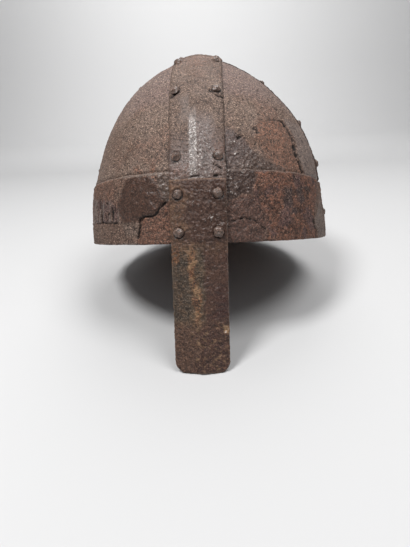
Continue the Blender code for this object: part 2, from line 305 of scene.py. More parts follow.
def centreLevel(points):
    overBrow = stepUp(points[..., 2], helmet["browHeight"] - 0.001, centreLook["footJoggle"])
    return 1 + overBrow + stepUp(np.abs(points[..., 1]), sideClear)


def keelRise(across, height=0.0):    # straight flanks up to a small crest, beaten flatter at the crown
    width = helmet["centreFoot"] / 2
    share = np.sqrt((across / width) ** 2 + 0.0012)
    crest = np.exp(-np.sqrt(across ** 2 + centreLook["crestTip"] ** 2) / centreLook["crestReach"])
    rise = centreLook["keel"] * np.clip(1.03 - share, 0, None) + centreLook["crest"] * crest
    return rise * (1 - centreLook["beaten"] * ramp(height, *centreLook["beatenFrom"]))


def straightOut(across, height, way):
    start = np.array([across * abs(way[1]), across * abs(way[0]), height])
    return domeHit(start, np.array(way, dtype=float))


def findSeats():    # where each rivet head sits, how far up from the dome, and the node it stands for
    look = rivetLook
    seats = []

    def seat(row, node, point, level, across=None):
        rise = 0 if across is None else float(keelRise(np.array(across), point[2]))
        seats.append({"row": row, "node": node, "point": point, "normal": domeNormal(point),
                      "up": float(level) * layer + rise - look["sink"]})

    ends = ((-1, "front"), (1, "back"))
    sides = ((-1, "left"), (1, "right"))
    along = helmet["sideWidth"] / 2 - look["edgeDistance"]
    centreStart = frontAngle(browEdge + helmet["joggle"] + look["headRadius"])
    centreEnd = math.atan2(helmet["rise"], along)
    sideStart = sideAngle(helmet["browHeight"])
    sideEnd = math.atan2(helmet["rise"], helmet["centreCrown"] / 2)
    for (end, endName), (side, sideName) in itertools.product(ends, sides):
        across = side * (helmet["nasalWidth"] / 2 - look["nasalInset"])
        for i, height in enumerate((look["nasalFoot"], helmet["nasalTop"] - look["nasalTop"])):
            seat(f"brow_rivets_{endName}", f"rivet_brow_{endName}_{sideName}_{i + 1}",
                 straightOut(across, height, (0, end, 0)), 3 if end < 0 else 2, across)
        for i, share in enumerate(look["centreShares"]):
            angle = centreStart + (centreEnd - centreStart) * share
            across = side * (centreHalf(angle) - look["edgeDistance"])
            point = straightOut(across, heightAt(angle, (0, end)), (0, end, 0))
            seat("centre_rivets", f"rivet_centre_{endName}_{sideName}_{i + 1}", point, centreLevel(point),
                 across)
        across = side * (helmet["centreCrown"] / 2 - look["edgeDistance"])
        point = domeHit(np.array([across, end * along, 0]), np.array([0.0, 0.0, 1.0]))
        seat("crown_rivets", f"rivet_crown_{endName}_{sideName}", point, 2, across)
        for i, share in enumerate(look["sideShares"]):
            height = heightAt(sideStart + (sideEnd - sideStart) * share, (side, 0))
            seat("side_rivets", f"rivet_side_{sideName}_{endName}_{i + 1}",
                 straightOut(end * along, height, (side, 0, 0)), 1)
        seat("foot_rivets", f"rivet_foot_{sideName}_{endName}",
             straightOut(end * along, look["footShare"] * helmet["browHeight"], (side, 0, 0)), 2)
    return seats


# Skins of iron. Each relief gives a height in metres and marks from 0 to 1 that the materials read.
# The inner faces have no relief, only the marks of plain brown iron.
markNames = ("rust", "mauve", "dark", "pale", "gloss")
insideMarks = {"rust": 0.55, "mauve": 0.0, "dark": 0.25, "pale": 0.0, "gloss": 0.0}
ironSkin = {    # how wide and how high each kind of unevenness is
    "rollingSize": 0.016, "rolling": 0.00022,
    "grainSize": 0.0031, "grain": 0.0002,
    "toothSize": 0.0011, "tooth": 0.0003,
    "pitSize": 0.0034, "pits": 0.0003,
    "rustSize": 0.03, "paleSize": 0.04,
}


def plainSkin(points, seed, depth=1.0):
    look = ironSkin
    rolling = clouds(points, look["rollingSize"], 2, seed) * look["rolling"]
    grain = clouds(points, look["grainSize"], 2, seed + 3) * look["grain"]
    tooth = softNoise(points @ noiseTurn.T / look["toothSize"], seed + 5)
    near, own = cells(points, look["pitSize"], seed + 9)
    pits = ramp(0.46 - near, 0, 0.32) * ramp(own, 0.55, 0.95)
    skin = {name: np.zeros(points.shape[:-1]) for name in markNames}
    skin["height"] = (rolling + grain + tooth * look["tooth"] - pits * look["pits"]) * depth
    skin["dark"] = pits * 0.4 + ramp(-tooth, 0.1, 0.8) * 0.4
    skin["rust"] = ramp(clouds(points, look["rustSize"], 3, seed + 21), -0.05, 0.4) * 0.5
    skin["pale"] = ramp(clouds(points, look["paleSize"], 3, seed + 33), 0.1, 0.6) * 0.3
    return skin


def tint(skin, share, **marks):    # bring marks towards the given values
    for name, value in marks.items():
        skin[name] = skin[name] * (1 - share) + value * share


def scatteredFlakes(skin, points, seed, amount, depth):    # scale that has come off in ragged islands
    field = clouds(points, 0.042, 4, seed) + clouds(points, 0.006, 2, seed + 5) * 0.12
    bare = ramp(field, 0.62 - amount, 0.66 - amount)
    rough = clouds(points, 0.003, 3, seed + 8)
    skin["height"] += -bare * depth + bare * rough * 0.00016
    rim = ramp(field, 0.56 - amount, 0.62 - amount) * (1 - bare)
    tint(skin, bare, rust=0.7)
    tint(skin, rim * 0.4, dark=0.5)
    tint(skin, rim * 0.5, pale=0.6)


def crust(skin, points, share, seed, height=0.0008, size=0.0023):    # knobbly dark scab: pale knobs, dark between them, and glossy, so that the material paints bright highlight grains on it
    near, own = cells(points + (clouds(points, 0.003, 2, seed + 4) * 0.0012)[..., None], size, seed)
    knobs = ramp(0.7 - near, 0, 0.6) * ramp(own, 0.25, 0.95)
    fine = clouds(points, 0.0013, 2, seed + 6)
    skin["height"] += share * (knobs * height + fine * 0.0003)
    tint(skin, share * (1 - knobs), dark=0.7)
    tint(skin, share * knobs, pale=1.0)
    tint(skin, share, gloss=0.76 + 0.24 * knobs)
    tint(skin, share * 0.7, rust=0.0)


def crack(skin, points, corners, width, depth, seed, area=True, broken=True):    # a split, its inside painted dark, with near-black painted shade at its middle; broken has gaps
    wander = clouds(points, 0.0022, 2, seed) * (0.7 if broken else 0.4)
    gaping = ramp(clouds(points, 0.003, 2, seed + 3), -0.55, -0.1) if broken else 1.0
    distance = lineDistance(frontSpots(points), corners) + wander
    thick = width * (1 + 0.6 * clouds(points, 0.005, 1, seed + 5))
    gaping = gaping * (1 - ramp(distance / thick, 0.35, 1)) * area
    skin["height"] -= gaping * depth
    tint(skin, gaping, dark=1.0, gloss=0.0)


rivetSeats = findSeats()


def collars(skin, points, rows, seed):    # rust heaped round the rivet heads, with a painted shadow ring where they meet the sheet, lower on the side below each head
    lumps = 0.6 + 0.5 * clouds(points, 0.002, 2, seed)
    radius = rivetLook["headRadius"]
    shade = np.array(rivetLook["shade"])
    for seat in rivetSeats:
        if seat["row"] not in rows:
            continue
        away = points - seat["point"]
        distance = np.linalg.norm(away, axis=-1) + lumps * 0.0005
        skin["height"] = skin["height"] * (0.15 + 0.85 * ramp(distance, radius + 0.0004, radius + 0.0018))
        ring = ramp(distance, radius + 0.0002, radius + 0.0011)
        ring = ring * (1 - ramp(distance, radius + 0.0013, radius + 0.0032))
        skin["height"] += ring * lumps * rivetLook["collar"]
        # painted shadow: the dark ring, shifted below each head, near-black at its darkest
        below = np.linalg.norm(away - shade, axis=-1) + lumps * 0.0005
        near = np.minimum(distance + 0.0003, below)
        tint(skin, 1 - ramp(near, radius + 0.0003, radius + 0.0010), dark=1.0)


# Sheets. A fine outer face, a coarse inner face, and walls between them round the edges.
def wallFaces(outerLine, innerLine, ratio):
    faces = []
    for i in range(len(innerLine) - 1):
        first, last = innerLine[i], innerLine[i + 1]
        run = outerLine[i * ratio:(i + 1) * ratio + 1]
        half = ratio // 2
        for j in range(ratio):
            faces.append((first if j < half else last, run[j], run[j + 1]))
        faces.append((first, run[half], last))
    return faces


def gridIndex(rows, columns, offset, closed):    # a closed sheet's first column comes again at its end
    index = np.arange(rows * columns).reshape(rows, columns) + offset
    return np.concatenate([index, index[:, :1]], axis=1) if closed else index


def gridFaces(index):
    corners = [index[:-1, :-1], index[:-1, 1:], index[1:, 1:], index[1:, :-1]]
    return np.stack(corners, axis=-1).reshape(-1, 4).tolist()


def columnsFor(width, cell, ratio):    # grid lines across a sheet, with a multiple of ratio steps
    return ratio * round(width / cell / ratio) + 1


def faceOutwards(mesh):
    work = bmesh.new()
    work.from_mesh(mesh)
    bmesh.ops.recalc_face_normals(work, faces=work.faces[:])
    work.to_mesh(mesh)
    work.free()


def addObject(name, data):
    added = bpy.data.objects.new(name, data)
    bpy.context.scene.collection.objects.link(added)
    return added


def makeSheet(name, outer, inner, ratio, skin, material, closed=False):
    rows, columns = outer.shape[:2]
    outerIndex = gridIndex(rows, columns, 0, closed)
    innerIndex = gridIndex(*inner.shape[:2], rows * columns, closed)
    faces = gridFaces(outerIndex) + gridFaces(innerIndex)
    walls = [(outerIndex[end], innerIndex[end]) for end in (0, -1)]
    if not closed:
        walls += [(outerIndex[:, end], innerIndex[:, end]) for end in (0, -1)]
    for outerLine, innerLine in walls:
        faces += wallFaces(outerLine.tolist(), innerLine.tolist(), ratio)
    verts = np.concatenate([outer.reshape(-1, 3), inner.reshape(-1, 3)])
    mesh = bpy.data.meshes.new(name)
    mesh.from_pydata(toRest(leaning(verts)).tolist(), [], faces)
    faceOutwards(mesh)
    for mark in markNames:
        values = np.full(len(verts), insideMarks[mark])
        values[:rows * columns] = np.clip(skin[mark], 0, 1).reshape(-1)
        mesh.attributes.new(mark, "FLOAT", "POINT").data.foreach_set("value", values.astype(np.float32))
    mesh.shade_smooth()
    mesh.set_sharp_from_angle(angle=math.radians(70))
    mesh.materials.append(material)
    print(name, "made:", sum(len(face) - 2 for face in faces), "triangles")
    return addObject(name, mesh)


def edgeDrop(distance, reach, drop):    # a worn edge, falling away towards the sheet below
    share = 1 - np.clip(distance / reach, 0, 1)
    return drop * share ** 2.2


def sheetFaces(points, skin, outerOffset, innerOffset, ratio):
    normals = domeNormal(points)
    outer = points + normals * (outerOffset + skin["height"])[..., None]
    inner = (points + normals * innerOffset[..., None])[::ratio, ::ratio]
    return outer, inner


def evenRows(marks, steps, ratio):    # rows along a sheet, a multiple of ratio in each stretch
    values = [marks[0]]
    for low, high, step in zip(marks, marks[1:], steps):
        count = ratio * max(1, round((high - low) / step / ratio))
        values.extend(low + (high - low) * (i + 1) / count for i in range(count))
    return np.array(values)


def raggedEdges(along, share, seed):    # how the left and the right edge of a band wander, from -1 to 1
    line = np.stack([along, along * 0, along * 0], axis=-1)
    left, right = (clouds(line, 0.006, 3, seed + k)[:, None] for k in (0, 1))
    return np.where(share[None] < 0, left, right)


def finishPiece(piece, nodes):
    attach(piece, "root")
    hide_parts(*nodes)


# Shader groups that every iron uses.
def newGroup(name, inputs, outputs):
    group = bpy.data.node_groups.new(name, "ShaderNodeTree")
    for label, kind, value in inputs:
        socket = group.interface.new_socket(name=label, in_out="INPUT", socket_type=kind)
        if value is not None:
            socket.default_value = value
    for label, kind in outputs:
        group.interface.new_socket(name=label, in_out="OUTPUT", socket_type=kind)
    return group, group.nodes.new("NodeGroupInput"), group.nodes.new("NodeGroupOutput")


def mathNode(tree, operation, first, second, third=None):
    node = tree.nodes.new("ShaderNodeMath")
    node.operation = operation
    for socket, value in zip(node.inputs, (first, second, third)):
        if value is None:
            continue
        if isinstance(value, (int, float)):
            socket.default_value = value
        else:
            tree.links.new(value, socket)
    return node.outputs[0]


def times(tree, first, *others):
    for other in others:
        first = mathNode(tree, "MULTIPLY", first, other)
    return first


def lessBy(tree, value, share):    # 1 where the value is 0, falling by a share of it
    return mathNode(tree, "SUBTRACT", 1.0, times(tree, value, share))


def mixColour(tree, share, first, second):
    node = tree.nodes.new("ShaderNodeMix")
    node.data_type = "RGBA"
    for socket, value in ((node.inputs[0], share), (node.inputs[6], first), (node.inputs[7], second)):
        if isinstance(value, (int, float)):
            socket.default_value = value
        elif isinstance(value, tuple):
            socket.default_value = (*value, 1)
        else:
            tree.links.new(value, socket)
    return node.outputs[2]


def noiseNode(tree, vector, scale, detail, roughness=0.55, distortion=0.0):
    node = tree.nodes.new("ShaderNodeTexNoise")
    tree.links.new(vector, node.inputs["Vector"])
    if isinstance(scale, (int, float)):
        node.inputs["Scale"].default_value = scale
    else:
        tree.links.new(scale, node.inputs["Scale"])
    node.inputs["Detail"].default_value = detail
    node.inputs["Roughness"].default_value = roughness
    node.inputs["Distortion"].default_value = distortion
    return node.outputs[0]


def spread(tree, value, low, high):    # a run of values stretched to 0..1, clamped
    node = tree.nodes.new("ShaderNodeMapRange")
    node.inputs["From Min"].default_value = low
    node.inputs["From Max"].default_value = high
    tree.links.new(value, node.inputs["Value"])
    return node.outputs[0]


def rustGrainGroup():    # fine grains of rust: light specks, painted highlight specks, dark pores and their height
    group, source, target = newGroup(
        "rust grain",
        [("Vector", "NodeSocketVector", None), ("Scale", "NodeSocketFloat", 700.0)],
        [("Specks", "NodeSocketFloat"), ("PaintedGlints", "NodeSocketFloat"), ("Pores", "NodeSocketFloat"),
         ("Tone", "NodeSocketFloat"), ("Height", "NodeSocketFloat")])
    vector, scale = source.outputs["Vector"], source.outputs["Scale"]
    fine = noiseNode(group, vector, scale, 1, 0.5)
    coarse = noiseNode(group, vector, times(group, scale, 0.52), 2, 0.6)
    group.links.new(spread(group, fine, 0.53, 0.74), target.inputs["Specks"])
    bright = noiseNode(group, vector, times(group, scale, 0.71), 1, 0.5)
    group.links.new(spread(group, bright, 0.56, 0.70), target.inputs["PaintedGlints"])
    group.links.new(spread(group, coarse, 0.44, 0.28), target.inputs["Pores"])
    tone = mathNode(group, "ADD", times(group, fine, 0.55), times(group, coarse, 0.45))
    group.links.new(spread(group, tone, 0.33, 0.67), target.inputs["Tone"])
    group.links.new(tone, target.inputs["Height"])
    return group


def stainGroup():    # broad and middling stains
    group, source, target = newGroup(
        "old stains",
        [("Vector", "NodeSocketVector", None), ("Scale", "NodeSocketFloat", 40.0)],
        [("Broad", "NodeSocketFloat"), ("Blotches", "NodeSocketFloat")])
    vector, scale = source.outputs["Vector"], source.outputs["Scale"]
    broad = noiseNode(group, vector, scale, 3, 0.55, 0.3)
    blotches = noiseNode(group, vector, times(group, scale, 4.3), 4, 0.62, 0.2)
    group.links.new(spread(group, broad, 0.35, 0.65), target.inputs["Broad"])
    group.links.new(spread(group, blotches, 0.38, 0.66), target.inputs["Blotches"])
    return group


grainGroup = rustGrainGroup()
stainsGroup = stainGroup()


def groupNode(tree, group, vector, scale):
    node = tree.nodes.new("ShaderNodeGroup")
    node.node_tree = group
    tree.links.new(vector, node.inputs["Vector"])
    node.inputs["Scale"].default_value = scale
    return node


def markNode(tree, name):
    node = tree.nodes.new("ShaderNodeAttribute")
    node.attribute_name = name
    return node.outputs["Fac"]


ironTones = {
    "ground": (0.125, 0.078, 0.056),
    "worn": (0.185, 0.130, 0.104),
    "rust": (0.260, 0.112, 0.067),
    "rustDeep": (0.150, 0.066, 0.042),
    "dark": (0.046, 0.030, 0.026),
    "mauve": (0.175, 0.122, 0.118),
    "pale": (0.205, 0.160, 0.138),
    "speck": (0.41, 0.30, 0.225),
    # painted highlight: the near-white tone of the bright grains on glossy iron
    "paintedGlint": (0.72, 0.67, 0.63),
    # painted shade: near-black where the dark mark is strongest, in cracks, seams and round rivet heads
    "deep": (0.007, 0.005, 0.004),
}
ironMix = {    # how far each mark takes the colour, or holds back the grains
    "mauve": 0.8,
    "pale": 0.8,
    "deep": 0.9,
    "glossHolds": 0.85,
    "darkHolds": 0.6,
    "rustHolds": 0.45,
    "paintedGlintsFrom": (0.76, 0.96),
    "paintedShadeFrom": (0.8, 1.0),
    "roughSpread": 0.18,
    "bumpDepth": 0.0012,
}
ironLook = {    # what an iron has where its own look says nothing else
    "speckle": 0.7,             # grains of light rust
    "pores": 0.95,              # and dark ones
    "paintedGlints": 0.9,              # painted highlights: bright grains where the iron is glossy
    "mottle": 1.0,
    "pallor": 0.45,             # how much of the pale tone the blotches take
    "roughness": 0.68,
    "glossDrop": 0.42,          # how much smoother the glossy stretches are
    "specular": 0.32,
    "bump": 1.0,
}


def ironMaterial(name, ownLook, ownTones):
    look = {**ironLook, **ownLook}
    tones = {**ironTones, **ownTones}
    material = bpy.data.materials.new(name)
    material.use_nodes = True
    tree = material.node_tree
    shader = tree.nodes["Principled BSDF"]
    place = tree.nodes.new("ShaderNodeTexCoord").outputs["Object"]
    grain = groupNode(tree, grainGroup, place, look["grainScale"])
    stains = groupNode(tree, stainsGroup, place, look["stainScale"])
    rust, dark = markNode(tree, "rust"), markNode(tree, "dark")
    pale, gloss, mauve = markNode(tree, "pale"), markNode(tree, "gloss"), markNode(tree, "mauve")

    tone, blotches, mix = grain.outputs["Tone"], stains.outputs["Blotches"], ironMix
    base = mixColour(tree, stains.outputs["Broad"], tones["ground"], tones["worn"])
    base = mixColour(tree, times(tree, blotches, look["pallor"]), base, tones["pale"])
    rustSpread = mathNode(tree, "ADD", rust, times(tree, blotches, look["rustiness"]))
    rustSpread = times(tree, rustSpread, spread(tree, tone, 0.15, 0.75))
    rustTone = mixColour(tree, blotches, tones["rustDeep"], tones["rust"])
    base = mixColour(tree, spread(tree, rustSpread, 0.0, 1.0), base, rustTone)
    base = mixColour(tree, times(tree, mauve, mix["mauve"]), base, tones["mauve"])
    base = mixColour(tree, times(tree, pale, mix["pale"]), base, tones["pale"])
    base = mixColour(tree, dark, base, tones["dark"])
    matt = lessBy(tree, gloss, mix["glossHolds"])
    specks = times(tree, grain.outputs["Specks"], look["speckle"], lessBy(tree, dark, mix["darkHolds"]), matt,
                   lessBy(tree, rust, mix["rustHolds"]))
    base = mixColour(tree, specks, base, tones["speck"])
    base = mixColour(tree, times(tree, grain.outputs["Pores"], look["pores"], matt), base, tones["dark"])
    # painted highlights: near-white grains where the gloss mark is high
    paintedGlintShare = times(tree, spread(tree, gloss, *mix["paintedGlintsFrom"]), look["paintedGlints"])
    base = mixColour(tree, times(tree, grain.outputs["PaintedGlints"], paintedGlintShare), base, tones["paintedGlint"])
    # painted shade: the darkest marks go near-black
    paintedShade = times(tree, spread(tree, dark, *mix["paintedShadeFrom"]), mix["deep"])
    base = mixColour(tree, paintedShade, base, tones["deep"])
    mottled = tree.nodes.new("ShaderNodeVectorMath")
    mottled.operation = "SCALE"
    tree.links.new(base, mottled.inputs[0])
    tree.links.new(mathNode(tree, "MULTIPLY_ADD", tone, look["mottle"], 1 - look["mottle"] / 2),
                   mottled.inputs["Scale"])
    tree.links.new(mottled.outputs[0], shader.inputs["Base Color"])

    smoothest = look["roughness"] - mix["roughSpread"] / 2
    rough = mathNode(tree, "MULTIPLY_ADD", tone, mix["roughSpread"], smoothest)
    rough = mathNode(tree, "MULTIPLY_ADD", gloss, -look["glossDrop"], rough)
    tree.links.new(rough, shader.inputs["Roughness"])
    shader.inputs["Metallic"].default_value = 0.0
    shader.inputs["Specular IOR Level"].default_value = look["specular"]

    bump = tree.nodes.new("ShaderNodeBump")
    tree.links.new(mathNode(tree, "MULTIPLY_ADD", matt, look["bump"] * 0.6, look["bump"] * 0.4),
                   bump.inputs["Strength"])
    bump.inputs["Distance"].default_value = mix["bumpDepth"]
    tree.links.new(grain.outputs["Height"], bump.inputs["Height"])
    tree.links.new(bump.outputs["Normal"], shader.inputs["Normal"])
    return material


plateIron = ironMaterial(
    "plate iron",
    {"grainScale": 1150, "stainScale": 34, "rustiness": 0.25, "speckle": 0.75, "roughness": 0.7}, {})
bandIron = ironMaterial(
    "centre band iron",
    {"grainScale": 1180, "stainScale": 38, "rustiness": 0.15, "pallor": 0.12},
    {"ground": (0.110, 0.069, 0.052), "worn": (0.165, 0.115, 0.092), "pale": (0.28, 0.24, 0.22)})
browIron = ironMaterial(
    "brow band iron",
    {"grainScale": 1080, "stainScale": 45, "rustiness": 0.35, "speckle": 0.6, "glossDrop": 0.40},
    {"ground": (0.088, 0.050, 0.036), "worn": (0.145, 0.091, 0.068), "pale": (0.165, 0.125, 0.104),
     "mauve": (0.083, 0.053, 0.057), "dark": (0.030, 0.016, 0.012), "rust": (0.230, 0.096, 0.058),
     "rustDeep": (0.118, 0.046, 0.030)})
nasalIron = ironMaterial(
    "nasal iron",
    {"grainScale": 1050, "stainScale": 60, "rustiness": 0.3, "speckle": 0.2, "pores": 0.6, "paintedGlints": 0.8,
     "mottle": 0.8, "pallor": 0.1, "roughness": 0.62, "glossDrop": 0.40},
    {"ground": (0.046, 0.035, 0.026), "worn": (0.068, 0.053, 0.040), "pale": (0.36, 0.225, 0.125),
     "mauve": (0.067, 0.031, 0.029), "dark": (0.036, 0.019, 0.014), "rust": (0.200, 0.092, 0.043),
     "rustDeep": (0.095, 0.040, 0.022)})
rivetIron = ironMaterial(
    "rivet iron",
    {"grainScale": 1050, "stainScale": 160, "rustiness": 0.35, "speckle": 0.4, "pores": 0.8, "paintedGlints": 0.35,
     "mottle": 0.9, "roughness": 0.54, "glossDrop": 0.4, "specular": 0.45, "bump": 0.9},
    {"ground": (0.078, 0.052, 0.042), "worn": (0.130, 0.098, 0.080)})
print("materials made")


# The dome's plates. Only the two front ones are seen closely.
plateLook = {
    "frontCell": 0.00078,
    "backCell": 0.0013,
    "ratio": 6,
    "foot": 0.0355,             # lower edge, hidden by the brow band
    "arcRadius": 0.137,         # mean distance from the rim's middle, for steps up the dome
    "turnRadius": 0.112,        # and from its axis, for steps round it
    "topInset": (0.00305, 0.00275),    # how far the upper corner keeps inside the plate's two edges
    "buildUp": 0.00055,         # rust heaped along the bands that cover its edges
    "buildUpShares": (1.3, 0.6),    # of it on the left and on the right plates
    "backFlaked": 0.24,
    "backFlakeDepth": 0.00045,
    "flakeDepth": 0.0002,
    "flakeStep": 0.0005,        # what the flake's right side is deeper by
    "flakeRough": 0.0004,
    "crustHeight": 0.0009,
    "stripHeight": 0.0005,
    "crackDepth": 0.001,
    "notchDepth": 0.0007,
    "coarseHeight": 0.0003,
}
plateShapes = {    # on the right front plate, in millimetres as the front view sees them
    "crust": [(18, 80), (25.5, 77), (31, 71.5), (36, 65), (44, 60.5), (52, 56), (62, 52), (62, 48), (18, 48)],
    "flake": [(44.4, 86), (51, 87), (62.6, 88.7), (67.3, 81.6), (71, 73.2), (70.4, 65.2), (74.6, 57.2),
              (78, 50), (60, 47), (47, 54.5), (45.2, 62.2), (41.4, 69.9), (41.2, 78)],
    "flakeCrack": [(62.6, 88.7), (67.3, 81.6), (71, 73.2), (70.4, 65.2), (74.6, 57.2), (77.5, 50)],
    "stripInner": [(78, 50), (75, 57), (71, 65), (71.5, 73), (68, 82), (63, 89)],
    "notches": [([(28.2, 71.6), (31.5, 73)], 1.1),
                ([(37.4, 82), (39.6, 79.6), (41.6, 78.4), (42, 76.2)], 1.2),
                ([(50, 87.2), (57, 88.3), (62.6, 88.7)], 0.7)],
}


def plateRelief(points, side, end, seed):
    look, shapes = plateLook, plateShapes
    skin = plainSkin(points, seed)
    spots = frontSpots(points)
    if end < 0:
        upper = ramp(spots[..., 1] + clouds(points, 0.02, 2, seed + 47) * 8, 96, 114)
        tint(skin, upper, mauve=0.6)
        tint(skin, upper * 0.7, rust=0.0)
    if side > 0 and end < 0:
        wander = clouds(points, 0.007, 3, seed + 40) * 2.4
        flake = insideOutline(spots, shapes["flake"]) + wander + clouds(points, 0.0016, 2, seed + 42) * 0.8
        bare = ramp(flake, -0.4, 0.4)
        steep = ramp(spots[..., 0], 58, 64)    # a clean step only to the right
        rough = clouds(points, 0.0026, 3, seed + 41) * look["flakeRough"]
        skin["height"] += bare * (rough - look["flakeDepth"] - look["flakeStep"] * steep)
        tint(skin, ramp(flake, -4, 3) * 0.9, rust=0.95)
        tint(skin, bare, pale=0.0)
        crusted = ramp(insideOutline(spots, shapes["crust"]) + wander, -1.2, 2.5)
        crust(skin, points, crusted, seed + 50, height=look["crustHeight"], size=0.002)
        tint(skin, crusted * ramp(spots[..., 1] - spots[..., 0], 14, 34), mauve=0.7)
        strip = ramp(rightOf(spots, shapes["stripInner"]), 0, 3) * ramp(spots[..., 1], 96, 88) * (1 - bare)
        tint(skin, strip, pale=0.9, mauve=0.8, gloss=0.35)
        wrinkles = clouds(points * np.array([1, 1, 0.4]), 0.0035, 3, seed + 44)
        skin["height"] += strip * wrinkles * look["stripHeight"]
        tint(skin, strip * ramp(wrinkles, 0.15, 0.5), dark=0.45)
        crack(skin, points, shapes["flakeCrack"], 1.25, look["crackDepth"], seed + 60)
        for i, (notch, width) in enumerate(shapes["notches"]):
            crack(skin, points, notch, width, look["notchDepth"] * width, seed + 70 + i)
    elif end < 0:    # coarser rust towards the middle and the brow
        coarse = ramp(spots[..., 1], 84, 62) * ramp(spots[..., 0], -74, -40)
        mottling = clouds(points, 0.0038, 3, seed + 81)
        skin["height"] += coarse * mottling * look["coarseHeight"]
        tint(skin, coarse * ramp(-mottling, 0.1, 0.5), dark=0.6)
        tint(skin, coarse * ramp(clouds(points, 0.009, 3, seed + 83), 0.0, 0.4), rust=0.9)
        outer = ramp(-spots[..., 0], 48, 74) * ramp(spots[..., 1], 112, 96)
        tint(skin, outer * 0.8, rust=0.0)
        tint(skin, outer, pale=0.15)
    else:
        scatteredFlakes(skin, points, seed + 80, look["backFlaked"], look["backFlakeDepth"])
    across = np.abs(points[..., 0]) - helmet["centreFoot"] / 2
    along = np.abs(points[..., 1]) - helmet["sideWidth"] / 2
    clear = np.minimum(np.minimum(across, along), points[..., 2] - helmet["browHeight"])
    shown = ramp(clear, -0.001, 0.001)
    skin["height"] = np.where(shown > 0, skin["height"] * shown, 0)
    lumps = 0.7 + 0.5 * clouds(points, 0.0024, 2, seed + 90)
    leftShare, rightShare = look["buildUpShares"]
    buildUp = look["buildUp"] * (leftShare if side < 0 else rightShare) * ramp(along, 0.0, 0.01)
    skin["height"] += ramp(clear, 0.0002, 0.0012) * ramp(-clear, -0.006, -0.0012) * lumps * buildUp
    # painted shadow along the band edges: a beaded dark joint line, which on the right plates also runs
    # beside the centre band as painted shadow, then a wider painted shadow strip beside the side band
    seam = np.minimum(along, across if side > 0 else along)
    beads = 0.75 + 0.5 * clouds(points, 0.0016, 1, seed + 95)
    tint(skin, (1 - ramp(seam, 0.0004, 0.0014)) * beads, dark=1.0)
    tint(skin, 1 - ramp(along, 0.0014, 0.0032), dark=0.79)
    return skin


def makePlate(side, end, name, seed):
    look = plateLook
    cell = look["frontCell"] if end < 0 else look["backCell"]
    ratio = look["ratio"]
    beside = helmet["centreFoot"] / 2 - helmet["overlap"]
    before = helmet["sideWidth"] / 2 - helmet["overlap"]
    inset = (beside + look["topInset"][0], before + look["topInset"][1])
    corner = math.hypot(inset[0] / helmet["halfWidth"], inset[1] / helmet["halfDepth"])
    top = domeHit(np.zeros(3), np.array([0, corner * helmet["halfDepth"], helmet["rise"]]))[2]
    angles = evenRows([frontAngle(look["foot"]), frontAngle(top)], [cell / look["arcRadius"]], ratio)
    columns = columnsFor(math.pi / 2 * look["turnRadius"], cell, ratio)
    grid = []
    for angle in angles:
        height = heightAt(angle, (0, end))
        share = shareAt(height)
        first = math.asin(beside / (helmet["halfWidth"] * share))
        last = math.acos(before / (helmet["halfDepth"] * share))
        headings = np.linspace(first, last, columns)
        grid.append(np.stack([side * helmet["halfWidth"] * share * np.sin(headings),
                              end * helmet["halfDepth"] * share * np.cos(headings),
                              np.full_like(headings, height)], axis=-1))
    points = np.array(grid)
    skin = plateRelief(points, side, end, seed)
    offset = np.zeros(points.shape[:2])
    outer, inner = sheetFaces(points, skin, offset, offset - helmet["sheet"], ratio)
    piece = makeSheet(name + "_iron", outer, inner, ratio, skin, plateIron)
    finishPiece(piece, [name])


for side, sideName in ((-1, "left"), (1, "right")):
    for end, endName in ((-1, "front"), (1, "back")):
        makePlate(side, end, f"plate_{endName}_{sideName}", 100 + 40 * (side + 1) + 11 * (end + 1))


# The centre band, with a low fold along its middle.
centreShapes = {    # on its front, in millimetres as the front view sees them; a crack has its width
    "orange": [(-19, 52), (-3, 52), (-3, 43), (-19, 43)],
    "cracks": [([(-20, 104.2), (-17, 103), (-13.5, 104.6), (-11.6, 109)], 1.2),
               ([(-22.5, 119), (-20.2, 116.4)], 1.2),
               ([(9.6, 106), (12.5, 102.6), (16, 101.2), (20.5, 101)], 1.2),
               ([(10.7, 51.5), (15.2, 48.8)], 1.2),
               ([(-4, 43.5), (1, 43.7)], 0.9),
               ([(10.5, 43.7), (15, 44.1)], 0.9)],
}


